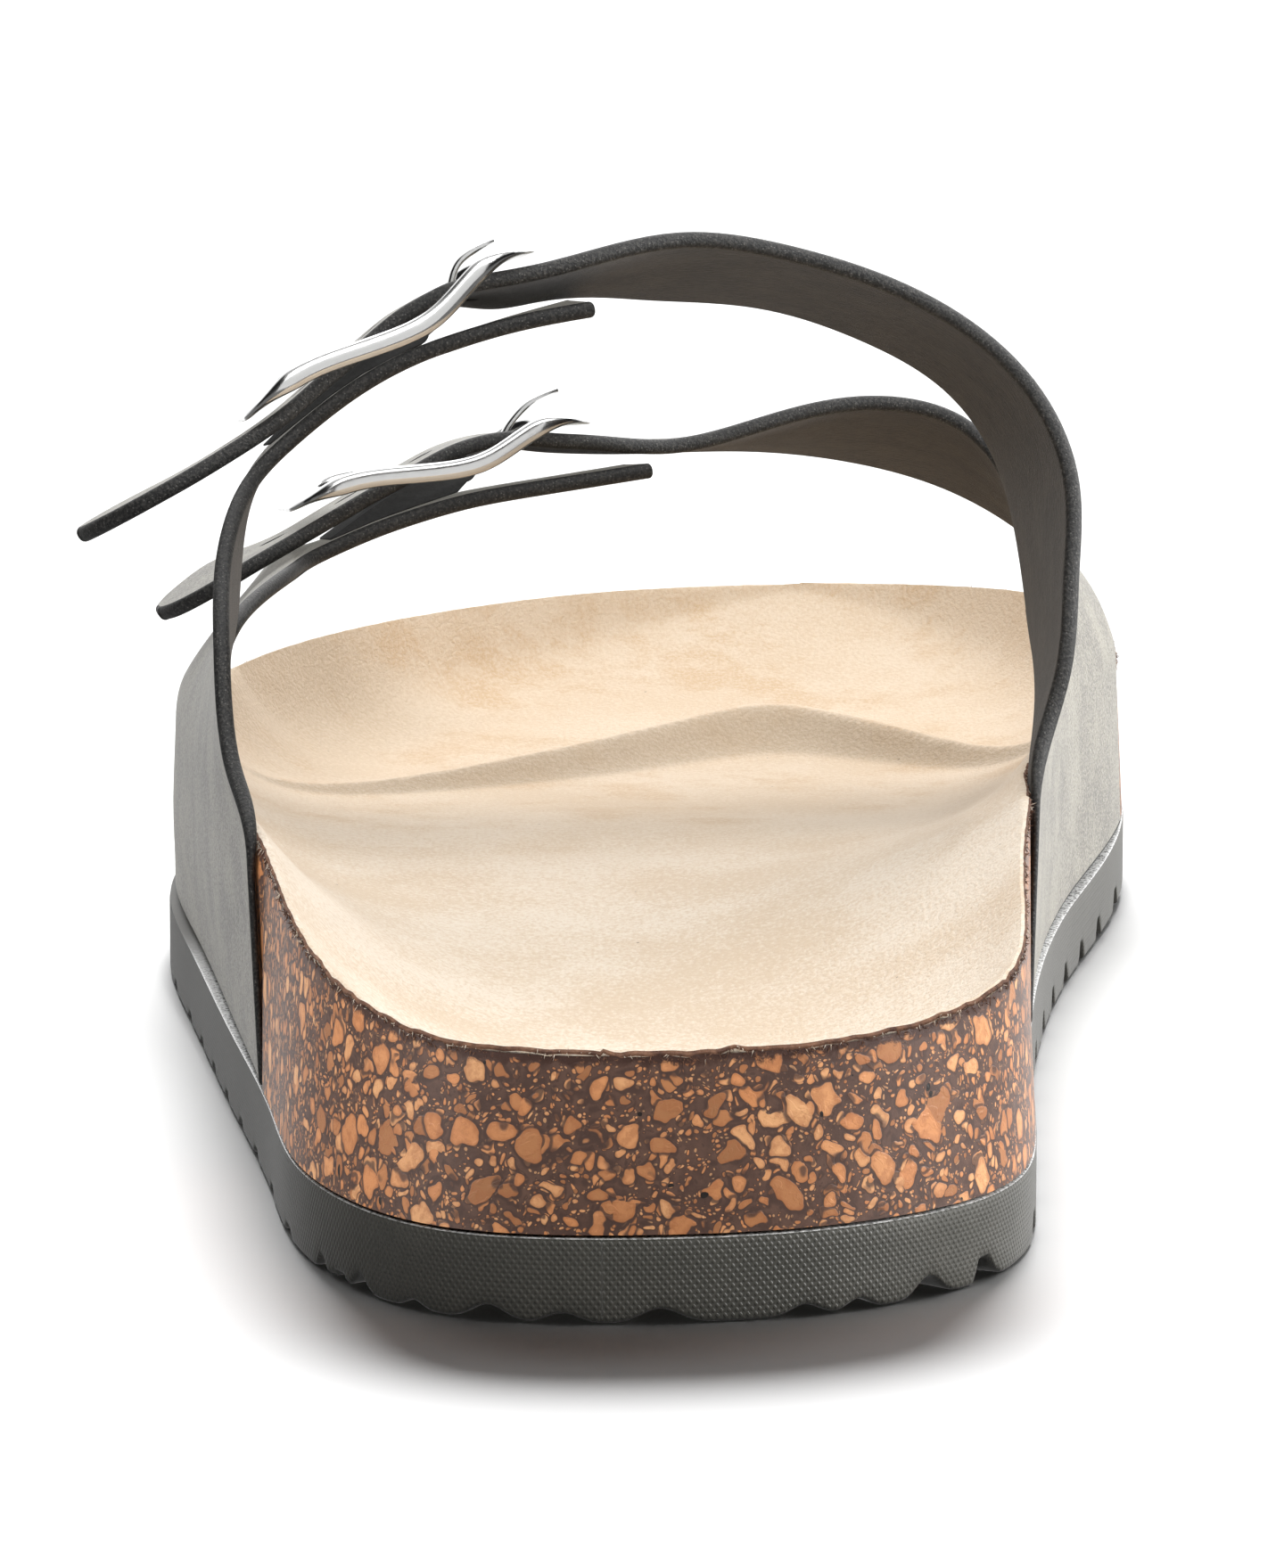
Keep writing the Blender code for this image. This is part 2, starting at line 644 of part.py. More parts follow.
def buckle_matrix(spot):
    """Rows of the buckle's own axes, towards the medial side, forward and up, and its middle."""
    turn, rise, lean = (math.radians(BUCKLES[spot][key]) for key in ("turn", "rise", "lean"))
    about_x = np.array([[1, 0, 0], [0, math.cos(lean), math.sin(lean)], [0, -math.sin(lean), math.cos(lean)]])
    about_y = np.array([[math.cos(rise), 0, -math.sin(rise)], [0, 1, 0], [math.sin(rise), 0, math.cos(rise)]])
    about_z = np.array([[math.cos(turn), -math.sin(turn), 0], [math.sin(turn), math.cos(turn), 0], [0, 0, 1]])
    return about_z @ about_y @ about_x, np.array(BUCKLES[spot]["middle"])


def buckle_rows(spot, sections, half_width):
    """Rear and front edge, in the shoe's frame, of sections that are given in the buckle's frame."""
    axes, middle = buckle_matrix(spot)
    rows = []
    for along, up in sections:
        rows.append(tuple(middle + axes @ np.array((along, edge * half_width, up)) for edge in (-1, 1)))
    return rows


def foot_rows(side, first_edge, second_edge, levels):
    """Sections where the strap piece stands against the footbed, from the outsole up."""
    rows = []
    for level in range(levels + 1):
        row = []
        for edge in (first_edge, second_edge):
            along = STRAP_FEET[side][edge]
            foot = spring(along) + OUTSOLE_THICK + FIT_GAP
            up = foot + (STRAP_LEAVES[side][edge] - foot) * level / levels
            row.append(np.array((strap_wall(side, along, up), along, up)))
        rows.append(tuple(row))
    return rows


def strap_grid(side, edges, table, spot, in_buckle, half_width, columns, steps, levels=2):
    """Outer face of one strap as rows of points, from the outsole to its end, and the crotch's row."""
    feet = foot_rows(side, *edges, levels)
    free = [*table, *buckle_rows(spot, in_buckle, half_width)]
    rear, front = (smooth_through([feet[-1][k], *(row[k] for row in free)], steps) for k in (0, 1))
    rows = [row for row in feet[:-1]] + list(zip(rear, front))
    grid = []
    for number, (first, second) in enumerate(rows):
        line = [first + (second - first) * k / columns for k in range(columns + 1)]
        if number <= levels:
            line = [np.array((strap_wall(side, p[1], p[2]), p[1], p[2])) for p in line]
        grid.append(line)
    return grid, levels + 2 * steps


def round_tip(grid, length):
    """Pulls the corners of a strap's last rows in, so that its free end is rounded."""
    end = np.array(grid[-1]).mean(axis=0)
    for row in grid:
        middle = np.array(row).mean(axis=0)
        left = float(np.linalg.norm(end - middle))
        if left < length:
            narrow = math.sqrt(max(1.0 - (1.0 - left / length) ** TIP_ROUND_POWER, TIP_BLUNT**2))
            row[:] = [middle + (p - middle) * narrow for p in row]


def share_foot(rear_grid, front_grid, crotch):
    """Makes the two straps of a piece meet along its split, up to the crotch."""
    for row in range(crotch + 1):
        meet = (rear_grid[row][-1] + front_grid[row][0]) / 2.0
        rear_grid[row][-1] = meet
        front_grid[row][0] = meet


def grid_normals(grid):
    """Unit normal at each point of a grid of rows."""
    spots = np.array(grid)
    along, across = np.gradient(spots, axis=0), np.gradient(spots, axis=1)
    normals = np.cross(along, across)
    return normals / np.linalg.norm(normals, axis=2, keepdims=True)


def make_upper(name, parent, grids, crotch, outward):
    """A strap piece: two strap grids that share their foot, thickened inwards to one closed wall."""
    rear, front = (np.array(grid) for grid in grids)
    normals = [grid_normals(grid) * outward for grid in (rear, front)]
    seam = slice(0, crotch + 1)
    both = normals[0][seam, -1] + normals[1][seam, 0]
    both /= np.linalg.norm(both, axis=1, keepdims=True)
    normals[0][seam, -1] = both
    normals[1][seam, 0] = both
    points, faces, index = [], [], []
    for strap, (grid, normal) in enumerate(zip((rear, front), normals)):
        rows, columns = grid.shape[:2]
        layers = []
        for layer, depth in enumerate((0.0, STRAP_THICK)):
            layers.append(np.zeros((rows, columns), int))
            for i in range(rows):
                for k in range(columns):
                    if strap == 1 and k == 0 and i <= crotch:
                        layers[layer][i, k] = index[0][layer][i, -1]
                        continue
                    layers[layer][i, k] = len(points)
                    points.append(tuple(grid[i, k] - normal[i, k] * depth))
        index.append(layers)
        outer, inner = layers
        for i in range(rows - 1):
            for k in range(columns - 1):
                faces.append((outer[i, k], outer[i, k + 1], outer[i + 1, k + 1], outer[i + 1, k]))
                faces.append((inner[i, k], inner[i + 1, k], inner[i + 1, k + 1], inner[i, k + 1]))
            for k, joined in ((0, strap == 1), (columns - 1, strap == 0)):
                if not (joined and i < crotch):
                    faces.append((outer[i, k], outer[i + 1, k], inner[i + 1, k], inner[i, k]))
        for i in (0, rows - 1):
            for k in range(columns - 1):
                faces.append((outer[i, k], outer[i, k + 1], inner[i, k + 1], inner[i, k]))
    return add_piece(name, points, faces, "strap", parent)


def strap_sections(spot):
    """Sections of a long strap from the buckle's medial end to its tip."""
    last, end = (np.array(row) for row in STRAP_TAIL[spot])
    return [*STRAP_IN_BUCKLE, tuple(last), *(tuple(last + (end - last) * share) for share in TIP_SHARES)]


def strap_up_at(spot, along):
    """Height of the strap's outer face in the buckle's frame, and its slope there."""
    curve = smooth_through(strap_sections(spot), 12)[::-1]
    up = np.interp((along - 0.5, along, along + 0.5), curve[:, 0], curve[:, 1])
    return up[1], up[2] - up[0]


def hole_cutter(spot, parent, sides=12):
    """Pins, square to the strap, that punch the prong's slot and the row of adjusting holes."""
    axes, middle = buckle_matrix(spot)
    places = [(PRONG_HOLE_AT, PRONG_HOLE_LENGTH, PRONG_HOLE_WIDTH)]
    places += [(PRONG_HOLE_AT + k * STRAP_HOLE_STEP, STRAP_HOLE, STRAP_HOLE) for k in STRAP_HOLES_FROM_PRONG]
    points, faces = [], []
    for along, length, width in places:
        up, slope = strap_up_at(spot, along)
        run = np.array((1.0, 0.0, slope)) / math.hypot(1.0, slope)
        square = np.array((-slope, 0.0, 1.0)) / math.hypot(1.0, slope)
        seat = np.array((along, 0.0, up)) - square * STRAP_THICK / 2.0
        first = len(points)
        for level in (-PUNCH_REACH * STRAP_THICK, PUNCH_REACH * STRAP_THICK):
            for k in range(sides):
                angle = 2.0 * math.pi * (k + 0.5) / sides
                aside = np.array((0.0, math.sin(angle) * width / 2.0, 0.0))
                local = seat + run * math.cos(angle) * length / 2.0 + aside + square * level
                points.append(tuple(middle + axes @ local))
        faces += ring_faces(first, first + sides, sides)
        faces += [tuple(range(first, first + sides)), tuple(range(first + sides, first + 2 * sides))]
    return add_cutter(f"strap_holes_{spot}", points, faces, parent)


def make_medial_upper(parent, columns=4, steps=2):
    """The long straps: one piece that rises from the medial side and runs through both buckles."""
    grids = []
    for spot, edges, table in (
        ("rear", ("rear", "split"), MEDIAL_REAR_STRAP),
        ("front", ("split", "front"), MEDIAL_FRONT_STRAP),
    ):
        sections = strap_sections(spot)
        grid, crotch = strap_grid(MEDIAL, edges, table, spot, sections, STRAP_HALF_WIDTH, columns, steps)
        round_tip(grid, STRAP_TIP)
        grids.append(grid)
    share_foot(*grids, crotch)
    upper = make_upper("upper_medial_straps", parent, grids, crotch, outward=-1)
    for spot in BUCKLES:
        cut(upper, hole_cutter(spot, parent))


def make_lateral_upper(parent, columns=4, steps=3):
    """The short straps: one piece that rises from the lateral side and carries both buckles."""
    grids = []
    for spot, edges, table in (
        ("rear", ("rear", "split"), LATERAL_REAR_STRAP),
        ("front", ("split", "front"), LATERAL_FRONT_STRAP),
    ):
        sections = [*ARM_IN_BUCKLE, *ARM_END[spot]]
        grid, crotch = strap_grid(LATERAL, edges, table, spot, sections, ARM_HALF_WIDTH, columns, steps)
        grids.append(grid)
    share_foot(*grids, crotch)
    make_upper("upper_lateral_straps", parent, grids, crotch, outward=1)


# Buckles


def rounded_loop(length, width, corner, rail_steps, end_steps, corner_steps):
    """Points round a rectangle with round corners, the same number for any size."""
    half_length, half_width = length / 2.0 - corner, width / 2.0 - corner
    loop = []
    for turn, steps in ((0, end_steps), (1, rail_steps), (2, end_steps), (3, rail_steps)):
        start, end = math.radians(90.0 * turn - 45.0), math.radians(90.0 * turn + 45.0)
        centres = [(half_length, -half_width), (half_length, half_width)]
        centres += [(-half_length, half_width), (-half_length, -half_width)]
        first, second = centres[turn], centres[(turn + 1) % 4]
        middle = (start + end) / 2.0
        for k in range(corner_steps):
            angle = start + (middle - start) * k / corner_steps
            loop.append((first[0] + corner * math.cos(angle), first[1] + corner * math.sin(angle)))
        for k in range(steps):
            share = k / steps
            across = first[0] + (second[0] - first[0]) * share + corner * math.cos(middle)
            along = first[1] + (second[1] - first[1]) * share + corner * math.sin(middle)
            loop.append((across, along))
        for k in range(corner_steps):
            angle = middle + (end - middle) * k / corner_steps
            loop.append((second[0] + corner * math.cos(angle), second[1] + corner * math.sin(angle)))
    return loop


FRAME_UP = table_curve(FRAME_RISE, 1)


def make_frame(spot, place):
    """The pressed frame with its cross bar."""
    steps = (8, 4, 2)
    outer = rounded_loop(FRAME_LENGTH, FRAME_WIDTH, FRAME_CORNER, *steps)
    inner = rounded_loop(WINDOW_LENGTH, WINDOW_WIDTH, WINDOW_CORNER, *steps)
    points = []
    for (out_x, out_y), (in_x, in_y) in zip(outer, inner):
        width = math.hypot(out_x - in_x, out_y - in_y)
        for share, level in ((0, -1), (0, 1), (1, 2), (-1, 2), (-2, 1), (-2, -1), (-1, -2), (1, -2)):
            pull = {0: 0.0, 1: FRAME_BEVEL / width, -1: 1.0 - FRAME_BEVEL / width, -2: 1.0}[share]
            x, y = out_x + (in_x - out_x) * pull, out_y + (in_y - out_y) * pull
            thick = RAIL_THICK + (END_THICK - RAIL_THICK) * ease(*FRAME_THINS, abs(x))
            lift = thick / 2.0 - (FRAME_BEVEL if abs(level) == 1 else 0.0)
            points.append((x, y, FRAME_UP(x) + math.copysign(lift, level)))
    count = len(outer)
    faces = []
    for i in range(count):
        faces += ring_faces(8 * i, 8 * ((i + 1) % count), 8)
    frame = add_piece(f"buckle_frame_{spot}", points, faces, "polished steel", place)
    half = (WINDOW_WIDTH + FRAME_WIDTH) / 4.0
    bar = add_cutter(f"buckle_bar_{spot}", *rod((BAR_AT, BAR_UP), BAR_RADIUS, half, 10), place)
    cut(frame, bar, "UNION")


def rod(centre, radius, half_length, sides):
    """Points and faces of a round rod that lies across the strap."""
    points = []
    for y in (-half_length, half_length):
        for k in range(sides):
            angle = 2.0 * math.pi * (k + 0.5) / sides
            points.append((centre[0] + radius * math.cos(angle), y, centre[1] + radius * math.sin(angle)))
    faces = ring_faces(0, sides, sides) + [tuple(range(sides)), tuple(range(sides, 2 * sides))]
    return points, faces


def extruded(outline, half_width):
    """Points and faces of a side outline pushed out to both sides."""
    count = len(outline)
    points = [(x, y, z) for y in (-half_width, half_width) for x, z in outline]
    return points, ring_faces(0, count, count) + [tuple(range(count)), tuple(range(count, 2 * count))]


def band_outline(path, thick):
    """Outline of a flat strip that follows a side path."""
    path = np.array(path, float)
    run = np.gradient(path, axis=0)
    run /= np.linalg.norm(run, axis=1, keepdims=True)
    square = np.stack([-run[:, 1], run[:, 0]], axis=1) * thick / 2.0
    return [tuple(p) for p in path - square] + [tuple(p) for p in (path + square)[::-1]]


def make_prong(spot, place, curl_steps=10):
    """The tongue: it is curled round the bar, rises through the strap and lies over the medial end."""
    radius = BAR_RADIUS + BAR_GAP + PRONG_THICK / 2.0
    start, end = (math.radians(angle) for angle in PRONG_CURL)
    curl = [start + (end - start) * k / curl_steps for k in range(curl_steps + 1)]
    path = [(BAR_AT + radius * math.cos(a), BAR_UP + radius * math.sin(a)) for a in curl]
    path += [tuple(p) for p in smooth_through([path[-1], *PRONG_PATH, *PRONG_END[spot]], 2)[1:]]
    outline = band_outline(path, PRONG_THICK)
    add_piece(f"buckle_prong_{spot}", *extruded(outline, PRONG_WIDTH / 2.0), "polished steel", place)


def make_tab(spot, place, loop_steps=10):
    """The leather tab: its tail lies on the short strap, its loop holds the bar, notched for the prong."""
    radius = BAR_RADIUS + BAR_GAP + TAB_WALL
    top = [(x, z + TAB_WALL) for x, z in TAB_TAIL]
    start = math.pi - math.asin((top[-1][1] - BAR_UP) / radius)
    end = -math.pi / 2.0
    loop = [start + (end - start) * k / loop_steps for k in range(loop_steps + 1)]
    outline = top[:-1] + [(BAR_AT + radius * math.cos(a), BAR_UP + radius * math.sin(a)) for a in loop]
    outline += list(reversed(TAB_TAIL[:-1]))
    tab = add_piece(f"buckle_tab_{spot}", *extruded(outline, TAB_WIDTH / 2.0), "tab", place)
    hole = rod((BAR_AT, BAR_UP), BAR_RADIUS + BAR_GAP, TAB_WIDTH, 12)
    cut(tab, add_cutter(f"tab_hole_{spot}", *hole, place))
    back, reach = BAR_AT - radius - BAR_GAP, 3.0 * radius
    notch = ((back, -reach), (BAR_AT + reach, -reach), (BAR_AT + reach, reach), (back, reach))
    cut(tab, add_cutter(f"tab_notch_{spot}", *extruded(notch, TAB_NOTCH / 2.0), place))


def make_buckle(spot, parent):
    place = bpy.data.objects.new(f"buckle_place_{spot}", None)
    bpy.context.scene.collection.objects.link(place)
    place.parent = parent
    sizes = BUCKLES[spot]
    place.location = [c * MM for c in sizes["middle"]]
    place.rotation_euler = [math.radians(a) for a in (-sizes["lean"], -sizes["rise"], sizes["turn"])]
    make_frame(spot, place)
    make_prong(spot, place)
    make_tab(spot, place)


# Whole sandal


def stand_on_origin(sandal):
    """Moves the sandal so that the middle of its box stands on the origin."""
    bpy.context.view_layer.update()
    shown = [o for o in bpy.context.scene.objects if o.type == "MESH" and not o.hide_render]
    corners = np.array([o.matrix_world @ v.co for o in shown for v in o.data.vertices])
    low, high = corners.min(axis=0), corners.max(axis=0)
    sandal.location = (-(low[0] + high[0]) / 2.0, -(low[1] + high[1]) / 2.0, 0.0)


def main():
    for old in list(bpy.data.objects):
        bpy.data.objects.remove(old)
    sandal = bpy.data.objects.new("sandal", None)
    bpy.context.scene.collection.objects.link(sandal)
    make_outsole(sandal)
    make_cork(sandal)
    make_insole(sandal)
    make_lateral_upper(sandal)
    make_medial_upper(sandal)
    for spot in BUCKLES:
        make_buckle(spot, sandal)
    stand_on_origin(sandal)


main()
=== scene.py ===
import math

import bmesh
import bpy
import numpy as np
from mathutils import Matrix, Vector


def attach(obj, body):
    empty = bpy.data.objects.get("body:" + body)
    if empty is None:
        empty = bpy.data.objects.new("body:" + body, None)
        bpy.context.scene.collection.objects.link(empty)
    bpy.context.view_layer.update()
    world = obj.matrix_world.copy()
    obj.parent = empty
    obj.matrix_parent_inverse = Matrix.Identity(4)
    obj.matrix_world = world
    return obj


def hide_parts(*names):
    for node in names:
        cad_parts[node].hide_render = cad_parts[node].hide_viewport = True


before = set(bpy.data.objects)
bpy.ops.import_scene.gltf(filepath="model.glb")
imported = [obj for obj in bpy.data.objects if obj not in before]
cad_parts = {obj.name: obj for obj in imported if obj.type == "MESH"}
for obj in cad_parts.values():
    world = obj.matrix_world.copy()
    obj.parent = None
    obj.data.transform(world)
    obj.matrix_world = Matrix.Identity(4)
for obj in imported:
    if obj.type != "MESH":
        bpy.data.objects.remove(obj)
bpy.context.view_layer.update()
print("frame loaded:", len(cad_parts), "nodes")

# All shoe tables are millimetres from the back of the heel: across to the inner side, along to the toe, up
mm = 0.001
heelInRow = np.array((3.18, -140.106, 0.0))  # the heel's back point in the part's own frame
lateral, medial = -1, 1
fullTurn = 2.0 * math.pi


# Curves

def splineSlopes(knots, points, closed=False):
    count = len(points)
    system = np.zeros((count, count))
    right = np.zeros_like(points)
    steps = np.diff(knots)
    for i in range(count):
        if not closed and i in (0, count - 1):
            j = 0 if i == 0 else count - 2
            system[i, [j, j + 1]] = (2.0, 1.0) if i == 0 else (1.0, 2.0)
            right[i] = 3.0 * (points[j + 1] - points[j]) / steps[j]
            continue
        before, after = steps[i - 1], steps[i]
        system[i, (i - 1) % count] = after
        system[i, i] = 2.0 * (before + after)
        system[i, (i + 1) % count] = before
        riseBefore = (points[i] - points[i - 1]) / before
        riseAfter = (points[(i + 1) % count] - points[i]) / after
        right[i] = 3.0 * (after * riseBefore + before * riseAfter)
    return np.linalg.solve(system, right)


def splineAt(knots, points, slopes, at):
    at = np.atleast_1d(np.asarray(at, float))
    i = np.clip(np.searchsorted(knots, at, side="right") - 1, 0, len(knots) - 2)
    j = (i + 1) % len(points)
    step = (knots[i + 1] - knots[i])[:, None]
    s = (at - knots[i])[:, None] / step
    start = (2 * s**3 - 3 * s**2 + 1) * points[i] + (s**3 - 2 * s**2 + s) * step * slopes[i]
    return start + (3 * s**2 - 2 * s**3) * points[j] + (s**3 - s**2) * step * slopes[j]


def chordKnots(points, closed=False):
    ends = np.vstack([points, points[:1]]) if closed else points
    return np.concatenate([[0.0], np.cumsum(np.linalg.norm(np.diff(ends, axis=0), axis=1))])


def smoothThrough(points, steps):
    points = np.array(points, float)
    knots = chordKnots(points)
    slopes = splineSlopes(knots, points)
    places = [a + (b - a) * k / steps for a, b in zip(knots, knots[1:]) for k in range(steps)]
    return splineAt(knots, points, slopes, np.array([*places, knots[-1]]))


def tableCurve(table, column):
    knots = np.array([row[0] for row in table], float)
    values = np.array([[row[column]] for row in table], float)
    slopes = splineSlopes(knots, values)

    def curve(at):
        inside = np.clip(np.ravel(at), knots[0], knots[-1])
        return splineAt(knots, values, slopes, inside)[:, 0].reshape(np.shape(at))

    return curve


def ease(low, high, value):
    s = np.clip((np.asarray(value, float) - low) / (high - low), 0.0, 1.0)
    return s * s * (3.0 - 2.0 * s)


# Meshes

def addMesh(name, points, faces, materials, faceSlots=None, sharp=40.0, layers=None):
    mesh = bpy.data.meshes.new(name)
    spots = (np.asarray(points, float) + heelInRow) * mm
    mesh.from_pydata(spots.tolist(), [], [tuple(int(v) for v in face) for face in faces])
    for material in materials:
        mesh.materials.append(material)
    if faceSlots is not None:
        mesh.polygons.foreach_set("material_index", np.asarray(faceSlots, np.int32))
    for layer, values in (layers or {}).items():
        attribute = mesh.attributes.new(layer, "FLOAT_VECTOR", "POINT")
        attribute.data.foreach_set("vector", np.asarray(values, np.float32).ravel())
    work = bmesh.new()
    work.from_mesh(mesh)
    bmesh.ops.recalc_face_normals(work, faces=work.faces)
    if work.calc_volume(signed=True) < 0.0:
        bmesh.ops.reverse_faces(work, faces=work.faces)
    work.to_mesh(mesh)
    work.free()
    mesh.shade_smooth()
    if sharp:
        mesh.set_sharp_from_angle(angle=math.radians(sharp))
    piece = bpy.data.objects.new(name, mesh)
    bpy.context.scene.collection.objects.link(piece)
    return piece


dressed = []


def dress(piece, slot, *nodes):
    dressed.append(piece)
    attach(piece, "root")
    if nodes:
        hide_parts(*nodes)
    print("piece", piece.name, len(piece.data.polygons), "faces")


def addCuts(piece, cutters):
    for cutter in cutters:
        cut = piece.modifiers.new(cutter.name, "BOOLEAN")
        cut.operation = "DIFFERENCE"
        cut.object = cutter


def applyModifiers(piece, cutters):
    bpy.context.view_layer.update()
    graph = bpy.context.evaluated_depsgraph_get()
    shaped = bpy.data.meshes.new_from_object(piece.evaluated_get(graph))
    piece.modifiers.clear()
    piece.data = shaped
    for cutter in cutters:
        bpy.data.objects.remove(cutter)


def ringFaces(first, second, count):
    after = [(i + 1) % count for i in range(count)]
    return [(first + i, first + k, second + k, second + i) for i, k in enumerate(after)]


def wallFaces(levels, count):
    faces = []
    for level in range(levels - 1):
        faces += ringFaces(level * count, (level + 1) * count, count)
    return faces


def tubeFaces(first, count):
    ends = [tuple(range(start, start + count)) for start in (first, first + count)]
    return ringFaces(first, first + count, count) + ends


def capFaces(first, count):
    stops = count // 2
    faces = [(first, first + 1, first + count - 1)]
    for i in range(1, stops - 1):
        faces.append((first + i, first + i + 1, first + count - i - 1, first + count - i))
    return faces + [(first + stops - 1, first + stops, first + stops + 1)]


def gridFaces(index):
    a, b = index[:-1, :-1], index[:-1, 1:]
    c, d = index[1:, 1:], index[1:, :-1]
    return np.stack([a, b, c, d], axis=-1).reshape(-1, 4)


# Inset and depth of points round a quarter circle
def roundProfile(radius, turns):
    return [(radius * (1.0 - math.sin(a)), radius * (1.0 - math.cos(a))) for a in np.radians(turns)]


# Shader tools

def setSocket(tree, socket, value):
    if isinstance(value, bpy.types.NodeSocket):
        tree.links.new(value, socket)
    else:
        socket.default_value = value


def addNode(tree, kind, inputs=None, **settings):
    node = tree.nodes.new(kind)
    for key, value in settings.items():
        setattr(node, key, value)
    for key, value in (inputs or {}).items():
        setSocket(tree, node.inputs[key], value)
    return node


def mathNode(tree, operation, first, second=0.0, third=0.0):
    return addNode(tree, "ShaderNodeMath", {0: first, 1: second, 2: third}, operation=operation).outputs[0]


def times(tree, first, second):
    return mathNode(tree, "MULTIPLY", first, second)


def timesPlus(tree, first, second, third):
    return mathNode(tree, "MULTIPLY_ADD", first, second, third)


def vectorNode(tree, operation, first, second):
    key = "Scale" if operation == "SCALE" else 1
    return addNode(tree, "ShaderNodeVectorMath", {0: first, key: second}, operation=operation).outputs[0]


def vectorParts(tree, vector):
    return addNode(tree, "ShaderNodeSeparateXYZ", {0: vector}).outputs


def layerParts(tree, layer):
    return vectorParts(tree, addNode(tree, "ShaderNodeAttribute", attribute_name=layer).outputs["Vector"])


def placeInMm(tree):
    return vectorNode(tree, "SCALE", addNode(tree, "ShaderNodeTexCoord").outputs["Object"], 1000.0)


def rangeNode(tree, value, low, high, toLow=0.0, toHigh=1.0):
    inputs = {"Value": value, "From Min": low, "From Max": high, "To Min": toLow, "To Max": toHigh}
    return addNode(tree, "ShaderNodeMapRange", inputs, interpolation_type="SMOOTHSTEP").outputs["Result"]


def mixColour(tree, share, first, second):
    node = addNode(tree, "ShaderNodeMix", data_type="RGBA")
    sockets = {socket.identifier: socket for socket in [*node.inputs, *node.outputs]}
    setSocket(tree, sockets["Factor_Float"], share)
    for key, colour in (("A_Color", first), ("B_Color", second)):
        setSocket(tree, sockets[key], (*colour, 1.0) if isinstance(colour, tuple) else colour)
    return sockets["Result_Color"]


def newMaterial(name, sockets):
    material = bpy.data.materials.new(name)
    material.use_nodes = True
    tree = material.node_tree
    for key, value in sockets.items():
        tree.nodes["Principled BSDF"].inputs[key].default_value = value
    return material, tree


# Join a bump and what else changes over the surface to the material's shader
def finishMaterial(material, height, strength, distance, colour=None, roughness=None):
    tree = material.node_tree
    bump = addNode(tree, "ShaderNodeBump", {"Height": height, "Strength": strength, "Distance": distance})
    for key, value in (("Base Color", colour), ("Roughness", roughness), ("Normal", bump.outputs[0])):
        if value is not None:
            tree.links.new(value, tree.nodes["Principled BSDF"].inputs[key])
    return material


def newGroup(name, inputs, output):
    group = bpy.data.node_groups.new(name, "ShaderNodeTree")
    for key, value in inputs.items():
        kind = "NodeSocketFloat" if isinstance(value, float) else "NodeSocketVector"
        group.interface.new_socket(name=key, in_out="INPUT", socket_type=kind).default_value = value
    group.interface.new_socket(name=output, in_out="OUTPUT", socket_type="NodeSocketFloat")
    return group, group.nodes.new("NodeGroupInput").outputs, group.nodes.new("NodeGroupOutput").inputs


def useGroup(tree, group, inputs):
    return addNode(tree, "ShaderNodeGroup", inputs, node_tree=group).outputs[0]


# Soft uneven tone: noise from 0 to 1 about a half
mottle, come, go = newGroup("mottle", {"Place": (0.0, 0.0, 0.0), "Size": 10.0, "Rough": 0.6}, "Tone")
scale = mathNode(mottle, "DIVIDE", 1.0, come["Size"])
noise = {"Vector": come["Place"], "Scale": scale, "Detail": 5.0, "Roughness": come["Rough"]}
tone = addNode(mottle, "ShaderNodeTexNoise", noise).outputs[0]
mottle.links.new(rangeNode(mottle, tone, 0.25, 0.75), go["Tone"])

# Sparse small spots: a share of the cells of a cell pattern holds one round spot each
spots = {"Place": (0.0, 0.0, 0.0), "Spacing": 4.0, "Radius": 0.2, "Share": 0.3}
specks, come, go = newGroup("specks", spots, "Mask")
scale = mathNode(specks, "DIVIDE", 1.0, come["Spacing"])
cells = addNode(specks, "ShaderNodeTexVoronoi", {"Vector": come["Place"], "Scale": scale}).outputs
reach = mathNode(specks, "DIVIDE", come["Radius"], come["Spacing"])
near = mathNode(specks, "LESS_THAN", cells["Distance"], reach)
luck = addNode(specks, "ShaderNodeSeparateColor", {0: cells["Color"]}).outputs[0]
chosen = mathNode(specks, "LESS_THAN", luck, come["Share"])
specks.links.new(times(specks, near, chosen), go["Mask"])

# Short nap: fine noise that is drawn out along one direction
hairs = {"Place": (0.0, 0.0, 0.0), "Size": 0.4, "Stretch": (1.0, 1.0, 1.0)}
nap, come, go = newGroup("nap", hairs, "Height")
drawn = vectorNode(nap, "DIVIDE", come["Place"], come["Stretch"])
scale = mathNode(nap, "DIVIDE", 1.0, come["Size"])
noise = {"Vector": drawn, "Scale": scale, "Detail": 3.0, "Roughness": 0.65}
nap.links.new(addNode(nap, "ShaderNodeTexNoise", noise).outputs[0], go["Height"])
print("shader groups ready")


def cloudy(tree, place, size, rough=0.6):
    return useGroup(tree, mottle, {"Place": place, "Size": size, "Rough": rough})


def speckled(tree, place, spacing, radius, share):
    return useGroup(tree, specks, {"Place": place, "Spacing": spacing, "Radius": radius, "Share": share})


def napped(tree, place, size, stretch=(1.0, 1.0, 1.0)):
    return useGroup(tree, nap, {"Place": place, "Size": size, "Stretch": stretch})


